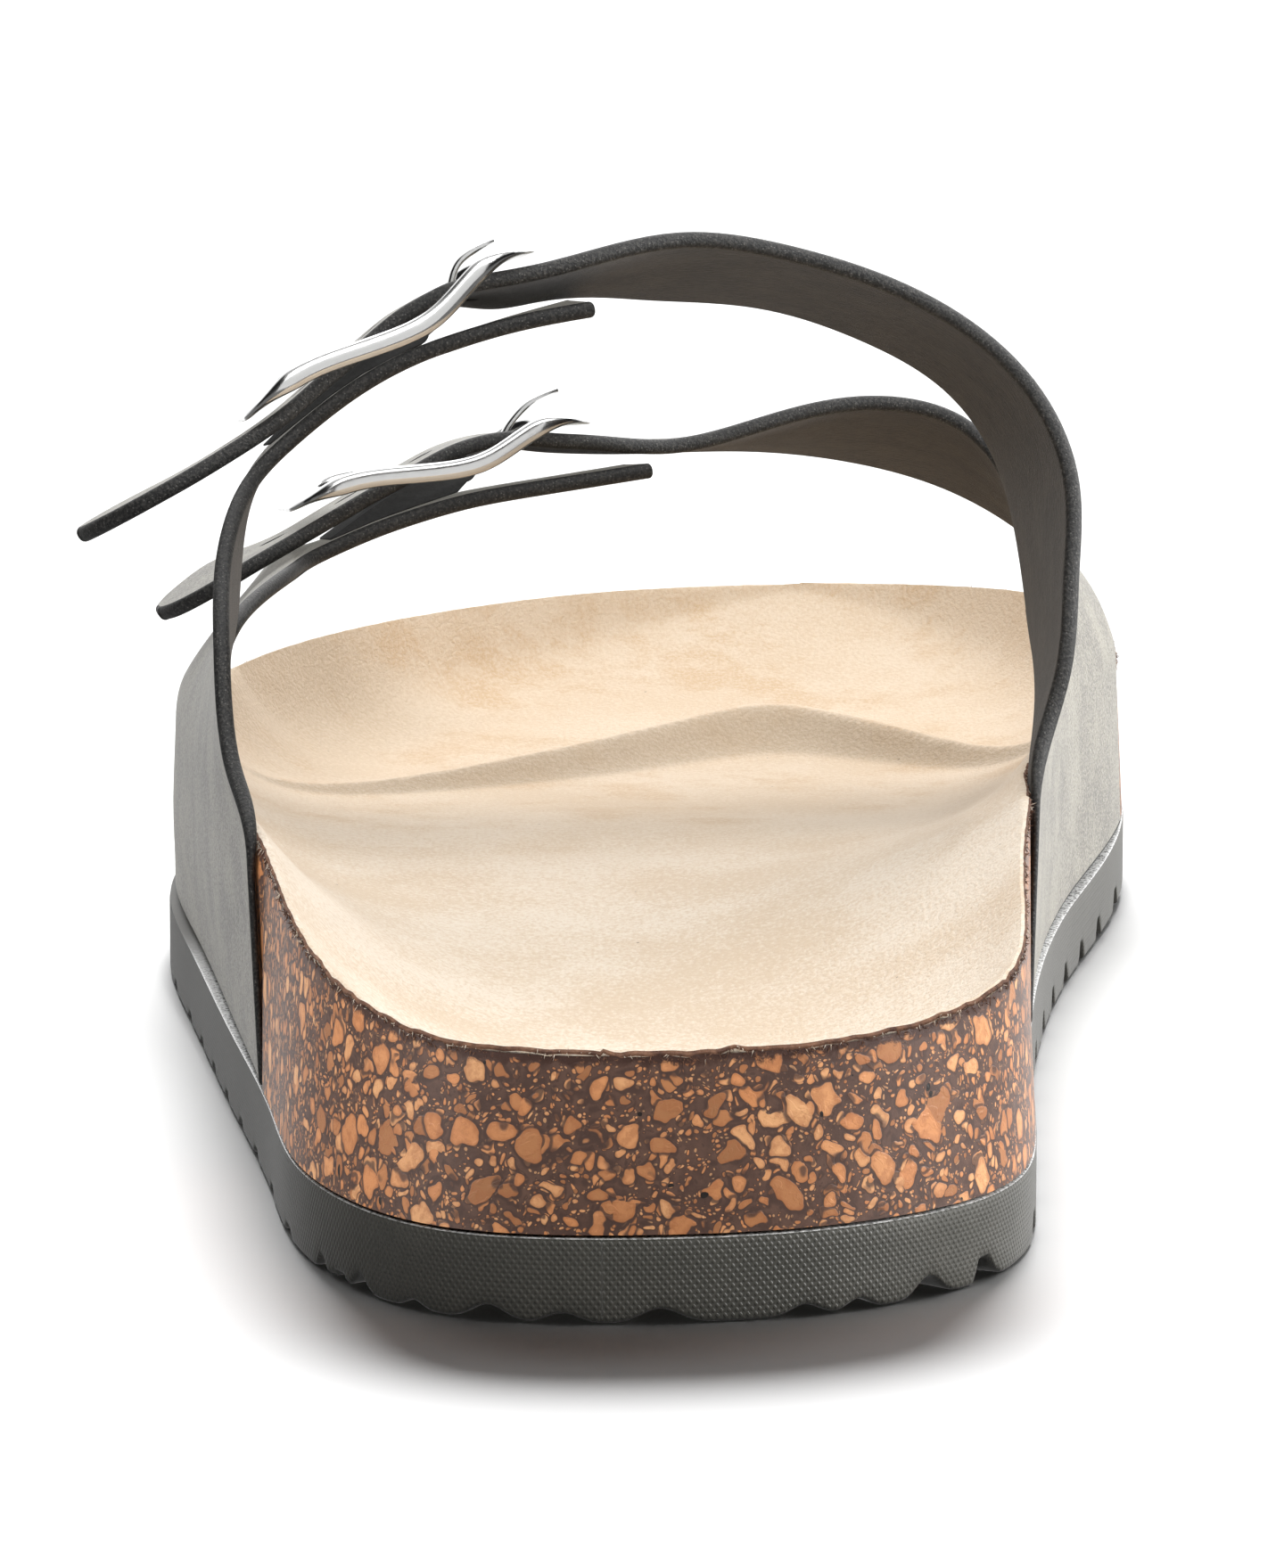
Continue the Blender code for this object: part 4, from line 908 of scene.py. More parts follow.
# Loose fibres as joined thin spikes: root points, directions with length, and width at the root
def makeFibres(name, roots, reaches, width, materials, slots):
    points, faces, faceSlots = [], [], []
    for root, reach, slot in zip(roots, reaches, slots):
        side = np.cross(reach, (0.31, 0.52, 0.79))
        side /= np.linalg.norm(side)
        other = np.cross(reach, side)
        other /= np.linalg.norm(other)
        first = len(points)
        for k in range(3):
            turn = fullTurn * k / 3.0
            points.append(root + (side * math.cos(turn) + other * math.sin(turn)) * width / 2.0)
            faces.append((first + k, first + (k + 1) % 3, first + 3))
        points.append(root + reach)
        faces.append((first, first + 2, first + 1))
        faceSlots += [slot] * 4
    return addMesh(name, points, faces, materials, faceSlots, sharp=None)


def makeTornEdge():
    looks = insoleLooks
    material, tree = newMaterial("torn cork fibre", {"Roughness": 0.9})
    place = placeInMm(tree)
    colour = mixColour(tree, cloudy(tree, place, 1.0), looks["rim"], looks["paleRim"])
    return finishMaterial(material, napped(tree, place, 0.3), *looks["tornBump"], colour)


def makeRimFibres(ring, materials):
    looks = insoleLooks
    luck = np.random.default_rng(21)
    run = ringRun(ring)
    count = looks["fibres"]
    at = luck.uniform(0.0, run[-1], count)
    roots = np.stack([np.interp(at, run, ring[:, k]) for k in range(3)], axis=1)
    away = roots - ring.mean(axis=0)
    away[:, 2] = 0.0
    away /= np.linalg.norm(away, axis=1, keepdims=True)
    slots = (luck.uniform(size=count) < looks["brownShare"]).astype(int)
    reaches = away * luck.uniform(*looks["fibreOut"], count)[:, None]
    reaches += luck.normal(0.0, looks["fibreStray"], (count, 3))
    reaches[:, 2] += np.where(slots == 1, *(luck.uniform(*span, count) for span in looks["fibreRise"]))
    roots[:, 2] -= np.where(slots == 1, *(luck.uniform(*span, count) for span in looks["fibreSink"]))
    roots -= away * looks["fibreInset"]
    fibres = makeFibres("rim_fibres", roots, reaches, looks["fibreWidth"], materials, slots)
    dress(fibres, "suede")


# Painted shade: the suede is painted darker on the near side of the toe bar, which faces away from the
# light, and along the outer toe wall, where the front strap's shade falls
def laidNap(points):
    looks = insoleLooks
    across, along = points[:, 0], points[:, 1]
    slope = toeBar(across, along + 0.5) - toeBar(across, along - 0.5)
    back = looks["barShadeShare"] * ease(*looks["barShadeSlope"], slope) * ease(*dish["barFrom"], along)
    far, near = looks["wallShadeReach"]
    begin, full, fade, end = looks["wallShadeSpan"]
    wall = 1.0 - ease(near, far, across - edgeAcross(lateral, along))
    wall = looks["wallShadeShare"] * wall * ease(begin, full, along) * (1.0 - ease(fade, end, along))
    share = np.maximum(back, wall)
    return np.stack([share, 0.0 * share, 0.0 * share], axis=1)


def makeInsole():
    looks = insoleLooks
    alongs = stations(looks["stations"])
    rings = [corkRing(alongs, 1.0, drop, out) for drop, out, worn in looks["rimRings"]]
    count = len(rings[0])
    run = ringRun(rings[0])
    middle = rings[0].mean(axis=0)
    for ring, (drop, out, worn) in zip(rings, looks["rimRings"]):
        loose = worn * (1.0 - looks["cleanCut"] * ease(*looks["cleanFrom"], ring[:, 1]))
        away = ring[:, :2] - middle[:2]
        away /= np.linalg.norm(away, axis=1, keepdims=True)
        ring[:, 2] += ragged(run, *looks["raggedUp"]) * loose
        ring[:, :2] += away * (sum(ragged(run, *row) for row in looks["raggedOut"]) * loose)[:, None]
    points = np.vstack(rings)
    faces = wallFaces(len(rings), count)
    columns = looks["columns"]
    inside, top = dishGrid(rings[-1], (len(rings) - 1) * count, len(points), columns)
    up = footbedUp(inside[:, 0], inside[:, 1])
    # the rim ring has its own height: the dish meets it within a few millimetres
    stops = count // 2
    ring = rings[-1]
    short = ring[:, 2] - footbedUp(ring[:, 0], ring[:, 1])
    rows = inside.reshape(stops - 1, columns - 1, 3)
    fill, near = [], []
    for half in (slice(1, stops), slice(count - 1, stops, -1)):
        away = np.linalg.norm(rows[:, :, :2] - ring[half, None, :2], axis=2)
        near.append(np.exp(-((away / looks["rimBlend"]) ** 2)))
        fill.append(short[half, None] * near[-1])
    fill = (fill[0] + fill[1]) * np.maximum(*near)
    inside[:, 2] = up + (fill / np.maximum(near[0] + near[1], 1e-9)).ravel()
    under = inside.copy()
    under[:, 2] -= looks["thick"]
    points = np.vstack([points, inside])
    low = dishGrid(rings[0], 0, len(points), columns)[1]
    points = np.vstack([points, under])
    slots = [1] * (2 * count) + [0] * (count + len(top) + len(low))
    materials = [makeSuede(), makeTornEdge()]
    # the share of painted shade at each point of the insole
    layers = {"laidNap": laidNap(points)}
    insole = addMesh("insole_suede", points, faces + top + low, materials, slots, layers=layers)
    dress(insole, "suede", "insole")
    makeRimFibres(rings[1], materials)


makeInsole()


# Straps

strapLooks = {
    "halfWidth": 13.0,
    "armHalfWidth": 12.5,
    "columns": 26,
    "levels": 10,
    "steps": 9,
    "edgeRound": 0.7,
    "curveDies": 15.0,
    "hole": 3.0,
    "holeStep": 9.0,
    "pinReach": 1.6,
    "holesFromProng": (-3, -2, -1),
    "prongHole": (8.0, 5.6, 3.2),
    "tip": 13.0,
    "tipBlunt": 0.14,
    "tipPower": 2.5,
    "tipShares": (0.2, 0.45, 0.6, 0.75, 0.85, 0.92, 0.97, 1.0),
    "nubuck": (0.066, 0.058, 0.042),
    "paleNubuck": (0.205, 0.188, 0.146),
    "hairTips": (0.33, 0.32, 0.29),
    "felt": (0.014, 0.0115, 0.0095),
    "paleFelt": (0.042, 0.035, 0.028),
    "edge": (0.006, 0.006, 0.006),
    "paleEdge": (0.034, 0.032, 0.029),
    "edgeDots": (0.15, 0.145, 0.135),
    "nubuckNap": (0.32, (1.0, 2.4, 1.0)),
    "nubuckBump": (0.7, 0.00025),
    "feltNap": (0.6, (1.5, 0.6, 1.5)),
    "feltBump": (0.6, 0.0003),
    "edgeBump": (0.7, 0.0002),
}
# rear edge and front edge of each section, up from the foot; the two straps part at the second row
lateralRear = [
    ((-42.9, 74.0, 38.5), (-47.8, 127.0, 36.4)), ((-44.2, 81.0, 49.3), (-46.0, 126.0, 42.8)),
    ((-44.3, 88.5, 56.4), (-44.9, 123.0, 52.0)), ((-42.5, 96.0, 62.4), (-43.6, 124.5, 58.6)),
]
lateralFront = [
    ((-47.8, 127.0, 36.4), (-49.9, 191.0, 31.6)), ((-46.0, 126.0, 42.8), (-48.0, 189.0, 35.2)),
    ((-43.0, 133.5, 46.3), (-45.4, 187.0, 39.6)), ((-39.2, 146.0, 47.7), (-41.8, 184.5, 43.6)),
]
medialRear = [
    ((39.8, 98.8, 38.0), (41.6, 149.0, 36.5)), ((41.4, 100.5, 43.5), (40.6, 148.0, 42.0)),
    ((42.3, 104.0, 52.5), (39.2, 148.0, 51.0)), ((42.5, 108.0, 61.5), (36.4, 149.0, 60.0)),
    ((38.0, 112.5, 71.6), (30.9, 149.0, 67.2)), ((28.0, 114.0, 79.7), (22.0, 148.0, 72.6)),
    ((14.0, 113.5, 85.0), (10.0, 145.5, 76.6)), ((2.0, 111.5, 86.8), (-1.0, 141.5, 77.8)),
]
medialFront = [
    ((41.6, 149.0, 36.5), (51.2, 203.0, 32.0)), ((40.6, 148.0, 42.0), (49.6, 202.5, 35.8)),
    ((40.0, 156.0, 49.0), (46.2, 203.5, 40.4)), ((37.6, 163.0, 56.6), (40.8, 205.0, 44.8)),
    ((32.0, 167.5, 61.4), (32.6, 205.0, 49.2)), ((21.5, 168.5, 63.0), (21.0, 203.5, 52.6)),
    ((10.5, 166.5, 60.8), (9.5, 200.5, 54.2)), ((1.0, 164.0, 58.8), (0.0, 196.5, 54.6)),
]
buckles = {
    "rear": {"middle": (-28.5, 118.0, 75.5), "turn": 9.0, "rise": 29.0, "lean": 9.0},
    "front": {"middle": (-25.0, 172.0, 55.0), "turn": 8.0, "rise": 15.0, "lean": 8.0},
}
strapInBuckle = {
    "rear": [
        (16.5, -1.5), (12.7, -0.2), (9.5, 0.9), (7.0, 1.4), (4.5, 1.5), (2.5, 1.5), (0.5, 1.3),
        (-3.0, 0.65), (-8.0, -0.25), (-13.5, -1.3), (-19.0, -1.75),
    ],
    "front": [
        (16.5, -1.5), (12.7, -0.2), (9.5, 0.95), (7.0, 1.5), (4.5, 1.7), (2.5, 1.65), (0.5, 1.4),
        (-3.0, 0.6), (-8.0, -0.5), (-13.5, -1.9), (-19.0, -3.3),
    ],
}
strapTail = {"rear": ((-26.0, -1.9), (-36.7, -1.8)), "front": ((-24.5, -4.8), (-32.9, -7.45))}
# extra height of the far edge where a strap or an arm twists: from, to, height
armTwist = {"rear": [(8.0, 19.5, 1.0)], "front": []}
strapTwist = {
    "rear": [(-22.0, -36.0, 0.4), (6.0, 14.0, -2.1)],
    "front": [(-17.0, -28.0, 1.5), (6.0, 14.0, -0.3)],
}
armInBuckle = {
    "rear": [(-14.0, -3.7), (-9.0, -2.85), (-4.0, -2.45), (2.5, -2.85), (6.0, -3.5)],
    "front": [(-14.0, -4.9), (-9.0, -4.25), (-4.0, -3.95), (2.5, -4.0), (6.0, -4.3)],
}
armEnd = {"rear": [(12.0, -5.0), (19.5, -7.6)], "front": [(12.0, -5.0), (22.0, -6.2)]}
strapEnds = {"rear": ("rear", "split"), "front": ("split", "front")}


def buckleMatrix(spot):
    turn, rise, lean = (math.radians(buckles[spot][key]) for key in ("turn", "rise", "lean"))
    c, s = math.cos(lean), math.sin(lean)
    aboutX = np.array([[1, 0, 0], [0, c, s], [0, -s, c]])
    c, s = math.cos(rise), math.sin(rise)
    aboutY = np.array([[c, 0, -s], [0, 1, 0], [s, 0, c]])
    c, s = math.cos(turn), math.sin(turn)
    aboutZ = np.array([[c, -s, 0], [s, c, 0], [0, 0, 1]])
    return aboutZ @ aboutY @ aboutX, np.array(buckles[spot]["middle"])


def inShoe(spot, points):
    axes, middle = buckleMatrix(spot)
    return middle + np.asarray(points, float) @ axes.T


def buckleRows(spot, sections, halfWidth, twists):
    rows = []
    for along, up in sections:
        far = up
        for start, end, height in twists[spot]:
            far += height * float(ease(0.0, 1.0, (along - start) / (end - start)))
        rows.append((inShoe(spot, (along, -halfWidth, up)), inShoe(spot, (along, halfWidth, far))))
    return rows


def footRows(side, ends, levels):
    rows = []
    for level in range(levels + 1):
        row = []
        for edge in ends:
            along = strapFeet[side][edge]
            foot = float(spring(along)) + sole["outsoleThick"] + sole["fitGap"]
            up = foot + (strapLeaves[side][edge] - foot) * level / levels
            row.append(np.array((float(strapWall(side, along, up)), along, up)))
        rows.append(tuple(row))
    return rows


def strapGrid(side, spot, table, sections, halfWidth, twists):
    columns, levels, steps = strapLooks["columns"], strapLooks["levels"], strapLooks["steps"]
    feet = footRows(side, strapEnds[spot], levels)
    bound = [*feet[-3:], *table, *buckleRows(spot, sections, halfWidth, twists)]
    rear, front = (smoothThrough([row[k] for row in bound], steps)[2 * steps :] for k in (0, 1))
    rows = feet[:-1] + list(zip(rear, front))
    shares = np.arange(columns + 1) / columns
    grid = np.array([first + (second - first) * shares[:, None] for first, second in rows])
    low = grid[: levels + 1]
    straight = low[levels, :, 0].copy()
    low[:, :, 0] = strapWall(side, low[:, :, 1], low[:, :, 2])
    # the wall's curve dies out up the strap
    rise = grid[levels + 1 :, :, 2] - low[levels, :, 2]
    keep = 1.0 - ease(0.0, strapLooks["curveDies"], rise)
    grid[levels + 1 :, :, 0] += (low[levels, :, 0] - straight) * keep
    return grid


def roundTip(grid):
    looks = strapLooks
    end = grid[-1].mean(axis=0)
    slims = np.ones(len(grid))
    for i, row in enumerate(grid):
        middle = row.mean(axis=0)
        left = float(np.linalg.norm(end - middle))
        if left < looks["tip"]:
            narrow = 1.0 - (1.0 - left / looks["tip"]) ** looks["tipPower"]
            slims[i] = math.sqrt(max(narrow, looks["tipBlunt"] ** 2))
            row[:] = middle + (row - middle) * slims[i]
    return slims


def gridNormals(grid):
    normals = np.cross(np.gradient(grid, axis=0), np.gradient(grid, axis=1))
    return normals / np.linalg.norm(normals, axis=2, keepdims=True)


def boundaryLoop(faces):
    seen = {}
    for face in faces:
        for a, b in zip(face, np.roll(face, -1)):
            key = (min(a, b), max(a, b))
            seen[key] = None if key in seen else (a, b)
    after = {a: b for pair in seen.values() if pair for a, b in [pair]}
    start = next(iter(after))
    loop = [start]
    while after[loop[-1]] != start:
        loop.append(after[loop[-1]])
    return np.array(loop)


# A strap piece: two grids that share their foot, with a felt back and a rounded cut edge
def makeUpper(name, side, grids, slims):
    looks = strapLooks
    rear, front = grids
    seam = slice(0, looks["levels"] + 2 * looks["steps"] + 1)
    meet = (rear[seam, -1] + front[seam, 0]) / 2.0
    rear[seam, -1], front[seam, 0] = meet, meet
    normals = [gridNormals(grid) * -side for grid in grids]
    both = normals[0][seam, -1] + normals[1][seam, 0]
    both /= np.linalg.norm(both, axis=1, keepdims=True)
    normals[0][seam, -1], normals[1][seam, 0] = both, both
    # the front grid takes its first column from the rear grid's last, up to the crotch
    own = np.ones(front.shape[:2], bool)
    own[seam, 0] = False
    rearIndex = np.arange(rear[:, :, 0].size).reshape(rear.shape[:2])
    frontIndex = np.zeros(front.shape[:2], int)
    frontIndex[own] = rearIndex.size + np.arange(own.sum())
    frontIndex[seam, 0] = rearIndex[seam, -1]
    points = np.vstack([rear.reshape(-1, 3), front[own]])
    square = np.vstack([normals[0].reshape(-1, 3), normals[1][own]])
    rowSlims = [slim[:, None] + np.zeros(grid.shape[:2]) for slim, grid in zip(slims, grids)]
    slim = np.concatenate([rowSlims[0].ravel(), rowSlims[1][own]])
    outer = np.vstack([gridFaces(rearIndex), gridFaces(frontIndex)])
    loop = boundaryLoop(outer.tolist())
    edge, up = points[loop], square[loop]
    run = np.roll(edge, -1, axis=0) - np.roll(edge, 1, axis=0)
    out = np.cross(run, up)
    out /= np.linalg.norm(out, axis=1, keepdims=True)
    centre = np.zeros_like(points)
    hits = np.zeros(len(points))
    for face in outer:
        centre[face] += points[face].mean(axis=0)
        hits[face] += 1.0
    inward = centre[loop] / hits[loop][:, None] - edge
    out *= -np.sign((inward * out).sum(axis=1))[:, None]
    radius = looks["edgeRound"]
    profile = roundProfile(radius, (0, 22, 45, 68, 90))
    profile += [(inset, strapThick - depth) for inset, depth in reversed(profile)]
    thick = footThick(side, points[:, 1], points[:, 2])[:, None]
    # the narrow ends round outwards, where there is no room inside
    grow = radius * (1.0 - slim[loop])[:, None]
    rings = []
    for inset, depth in profile:
        rings.append(edge - out * (inset - grow) - up * depth * thick[loop] / strapThick)
    total, around = len(points), len(loop)
    inner = points - square * thick
    points[loop] = rings[0]
    inner[loop] = rings[-1]
    sheets = [points, inner, *rings[1:-1]]
    faces = [*outer.tolist(), *(outer[:, ::-1] + total).tolist()]
    slots = [0] * len(outer) + [1] * len(outer)
    starts = [2 * total + level * around + np.arange(around) for level in range(len(rings) - 2)]
    starts = [loop, *starts, loop + total]
    for first, second in zip(starts, starts[1:]):
        for j in range(around):
            k = (j + 1) % around
            faces.append((first[j], first[k], second[k], second[j]))
        slots += [2] * around
    return addMesh(name, np.vstack(sheets), faces, strapMaterials, slots, sharp=50.0)


def strapSections(spot):
    last, end = (np.array(row) for row in strapTail[spot])
    tail = [tuple(last + (end - last) * share) for share in strapLooks["tipShares"]]
    return [*strapInBuckle[spot], tuple(last), *tail]


def strapUpAt(spot, along):
    curve = smoothThrough(strapSections(spot), 12)[::-1]
    up = np.interp((along - 0.5, along, along + 0.5), curve[:, 0], curve[:, 1])
    return up[1], up[2] - up[0]


def holePins(spot, sides=28):
    looks = strapLooks
    at, hole = looks["prongHole"][0], looks["hole"]
    places = [looks["prongHole"]]
    places += [(at + k * looks["holeStep"], hole, hole) for k in looks["holesFromProng"]]
    points, faces = [], []
    for along, length, width in places:
        up, slope = strapUpAt(spot, along)
        run = np.array((1.0, 0.0, slope)) / math.hypot(1.0, slope)
        square = np.array((-slope, 0.0, 1.0)) / math.hypot(1.0, slope)
        seat = np.array((along, 0.0, up)) - square * strapThick / 2.0
        faces += tubeFaces(len(points), sides)
        for level in (-looks["pinReach"] * strapThick, looks["pinReach"] * strapThick):
            for k in range(sides):
                angle = fullTurn * (k + 0.5) / sides
                ahead = run * math.cos(angle) * length / 2.0
                aside = np.array((0.0, math.sin(angle) * width / 2.0, 0.0))
                points.append(inShoe(spot, seat + ahead + aside + square * level))
    return addMesh("strap_pins_" + spot, points, faces, strapMaterials[2:])


def makeNubuck():
    looks = strapLooks
    sockets = {"Roughness": 0.7, "Sheen Weight": 0.35, "Sheen Roughness": 0.4}
    material, tree = newMaterial("strap nubuck", sockets)
    place = placeInMm(tree)
    fuzz = napped(tree, place, *looks["nubuckNap"])
    share = timesPlus(tree, fuzz, 1.9, times(tree, cloudy(tree, place, 9.0), 0.35))
    colour = mixColour(tree, rangeNode(tree, share, 0.8, 1.4), looks["nubuck"], looks["paleNubuck"])
    tips = times(tree, speckled(tree, place, 0.55, 0.16, 0.35), 0.35)
    colour = mixColour(tree, tips, colour, looks["hairTips"])
    return finishMaterial(material, fuzz, *looks["nubuckBump"], colour)


def makeFelt():
    looks = strapLooks
    material, tree = newMaterial("strap felt", {"Roughness": 0.95, "Sheen Weight": 0.1})
    place = placeInMm(tree)
    fuzz = napped(tree, place, *looks["feltNap"])
    share = timesPlus(tree, fuzz, 0.8, times(tree, cloudy(tree, place, 6.0, 0.7), 0.3))
    colour = mixColour(tree, rangeNode(tree, share, 0.3, 0.8), looks["felt"], looks["paleFelt"])
    return finishMaterial(material, fuzz, *looks["feltBump"], colour)


def makeCutEdge():
    looks = strapLooks
    material, tree = newMaterial("strap cut edge", {"Roughness": 0.6})
    place = placeInMm(tree)
    grit = napped(tree, place, 0.3)
    colour = mixColour(tree, rangeNode(tree, grit, 0.42, 0.66), looks["edge"], looks["paleEdge"])
    dots = times(tree, speckled(tree, place, 0.28, 0.08, 0.3), 0.45)
    colour = mixColour(tree, dots, colour, looks["edgeDots"])
    return finishMaterial(material, grit, *looks["edgeBump"], colour)


strapMaterials = [makeNubuck(), makeFelt(), makeCutEdge()]


def makeMedialUpper():
    grids, slims = [], []
    for spot, table in (("rear", medialRear), ("front", medialFront)):
        sections = strapSections(spot)
        grids.append(strapGrid(medial, spot, table, sections, strapLooks["halfWidth"], strapTwist))
        slims.append(roundTip(grids[-1]))
    upper = makeUpper("medial_straps", medial, grids, slims)
    pins = [holePins(spot) for spot in buckles]
    addCuts(upper, pins)
    applyModifiers(upper, pins)
    dress(upper, "strap", "upper_medial_straps")


def makeLateralUpper():
    grids = []
    for spot, table in (("rear", lateralRear), ("front", lateralFront)):
        sections = [*armInBuckle[spot], *armEnd[spot]]
        grids.append(strapGrid(lateral, spot, table, sections, strapLooks["armHalfWidth"], armTwist))
    slims = [np.ones(len(grid)) for grid in grids]
    dress(makeUpper("lateral_straps", lateral, grids, slims), "strap", "upper_lateral_straps")


makeMedialUpper()
makeLateralUpper()


# Buckles

buckleLooks = {
    "length": 34.0,
    "width": 32.8,
    "corner": 6.0,
    "windowLength": 25.0,
    "windowWidth": 27.6,
    "windowCorner": 3.2,
    "railThick": 2.1,
    "railSquare": 3.2,
    "endThick": 0.8,
    "thins": (10.5, 15.5),
    "rise": [
        (-17.0, -0.4), (-13.5, 0.35), (-9.5, 0.65), (-4.5, -0.05), (0.5, -0.95), (4.5, -1.05), (8.5, 0.05),
        (12.5, 0.95), (15.0, 0.55), (17.0, -0.2),
    ],
    "bar": (2.5, -1.35),
    "barRadius": 0.6,
    "barGap": 0.25,
    "prongThick": 0.75,
    "prongWidth": 2.6,
    "prongSquare": 3.0,
    "prongCurl": (40.0, 320.0),
    "prongPath": [(5.8, -1.55), (7.2, -0.6), (8.9, 1.35), (10.2, 2.4)],
    "prongEnd": {"rear": [(11.5, 2.75), (14.6, 2.65)], "front": [(11.8, 3.3), (15.5, 4.0)]},
    "prongTip": 3.0,
    "prongTipSlim": (0.72, 0.28),
    "tabWall": 0.6,
    "tabWidth": 18.0,
    "tabNotch": 4.8,
    "tabFold": {
        "rear": [(-16.0, -3.75), (-13.0, -2.95), (-8.0, -1.95), (-4.5, -1.25), (-2.0, -0.75), (0.5, -0.2)],
        "front": [(-13.5, -4.6), (-8.0, -2.6), (-4.5, -1.5), (-2.0, -0.75), (0.5, -0.2)],
    },
    "tabTail": {
        "rear": [(-4.0, -2.4), (-8.0, -2.7), (-13.0, -3.45), (-16.0, -3.95)],
        "front": [(1.2, -3.6), (-4.0, -3.85), (-8.0, -4.1), (-13.5, -4.8)],
    },
    "tabTurn": (100.0, -90.0),
    "tabBevel": 0.00018,
    "tabLeather": (0.012, 0.012, 0.012),
    "paleTabLeather": (0.03, 0.03, 0.029),
    "tabBump": (0.5, 0.0002),
    "chrome": (0.58, 0.58, 0.575),
    "chromeRoughness": (0.15, 0.24),
    "chromeNap": (0.8, (4.0, 0.5, 1.0)),
    "chromeBump": (0.05, 0.0002),
}
frameUp = tableCurve(buckleLooks["rise"], 1)


def makeChrome():
    looks = buckleLooks
    sockets = {"Base Color": (*looks["chrome"], 1.0), "Metallic": 1.0, "Roughness": 0.1}
    material, tree = newMaterial("polished steel", sockets)
    place = placeInMm(tree)
    haze = rangeNode(tree, cloudy(tree, place, 1.5, 0.7), 0.0, 1.0, *looks["chromeRoughness"])
    fine = napped(tree, place, *looks["chromeNap"])
    return finishMaterial(material, fine, *looks["chromeBump"], roughness=haze)


def makeTabLeather():
    looks = buckleLooks
    material, tree = newMaterial("tab leather", {"Roughness": 0.6})
    grit = napped(tree, placeInMm(tree), 0.5)
    colour = mixColour(tree, grit, looks["tabLeather"], looks["paleTabLeather"])
    return finishMaterial(material, grit, *looks["tabBump"], colour)


chrome, tabLeather = makeChrome(), makeTabLeather()


def roundedLoop(length, width, corner, railSteps, endSteps, cornerSteps):
    halfLength, halfWidth = length / 2.0 - corner, width / 2.0 - corner
    centres = [(x * halfLength, y * halfWidth) for x, y in ((1, -1), (1, 1), (-1, 1), (-1, -1))]
    loop = []

    def addArc(centre, start, end):
        for k in range(cornerSteps):
            angle = start + (end - start) * k / cornerSteps
            loop.append((centre[0] + corner * math.cos(angle), centre[1] + corner * math.sin(angle)))

    for turn, steps in enumerate((endSteps, railSteps, endSteps, railSteps)):
        start, end = math.radians(90.0 * turn - 45.0), math.radians(90.0 * turn + 45.0)
        middle = (start + end) / 2.0
        first, second = centres[turn], centres[(turn + 1) % 4]
        addArc(first, start, middle)
        for k in range(steps):
            across, along = (a + (b - a) * (k / steps) for a, b in zip(first, second))
            loop.append((across + corner * math.cos(middle), along + corner * math.sin(middle)))
        addArc(second, middle, end)
    return np.array(loop)


# Points of a soft-cornered section, about 0, from -1 to 1 both ways
def softSection(sides, power):
    angle = 2.0 * math.pi * (np.arange(sides) + 0.5) / sides
    c, s = np.cos(angle), np.sin(angle)
    return np.sign(c) * np.abs(c) ** (2.0 / power), np.sign(s) * np.abs(s) ** (2.0 / power)


# Points round the buckle's bar, seen from the side
def roundBar(radius, turns):
    at, up = buckleLooks["bar"]
    return [(at + radius * math.cos(a), up + radius * math.sin(a)) for a in turns]


def makeFrame(spot):
    looks = buckleLooks
    steps = (44, 30, 10)  # along a rail, along an end, round half a corner
    outer = roundedLoop(looks["length"], looks["width"], looks["corner"], *steps)
    inner = roundedLoop(looks["windowLength"], looks["windowWidth"], looks["windowCorner"], *steps)
    sides, count = 20, len(outer)
    wide, tall = softSection(sides, looks["railSquare"])
    points = []
    for out, into in zip(outer, inner):
        spots = (out + into) / 2.0 + (out - into)[None, :] / 2.0 * wide[:, None]
        toEnd = ease(*looks["thins"], np.abs(spots[:, 0]))
        thick = looks["railThick"] + (looks["endThick"] - looks["railThick"]) * toEnd
        points.append(np.column_stack([spots, frameUp(spots[:, 0]) + tall * thick / 2.0]))
    faces = wallFaces(count, sides) + ringFaces(sides * (count - 1), 0, sides)
    # the cross bar, let into both rails
    reach = (looks["windowWidth"] + looks["width"]) / 4.0
    rod = roundBar(looks["barRadius"], fullTurn * np.arange(sides) / sides)
    points.append([(x, y, z) for y in (-reach, reach) for x, z in rod])
    faces += tubeFaces(sides * count, sides)
    piece = addMesh("frame_" + spot, inShoe(spot, np.vstack(points)), faces, [chrome])
    dress(piece, "polished steel", "buckle_frame_" + spot)


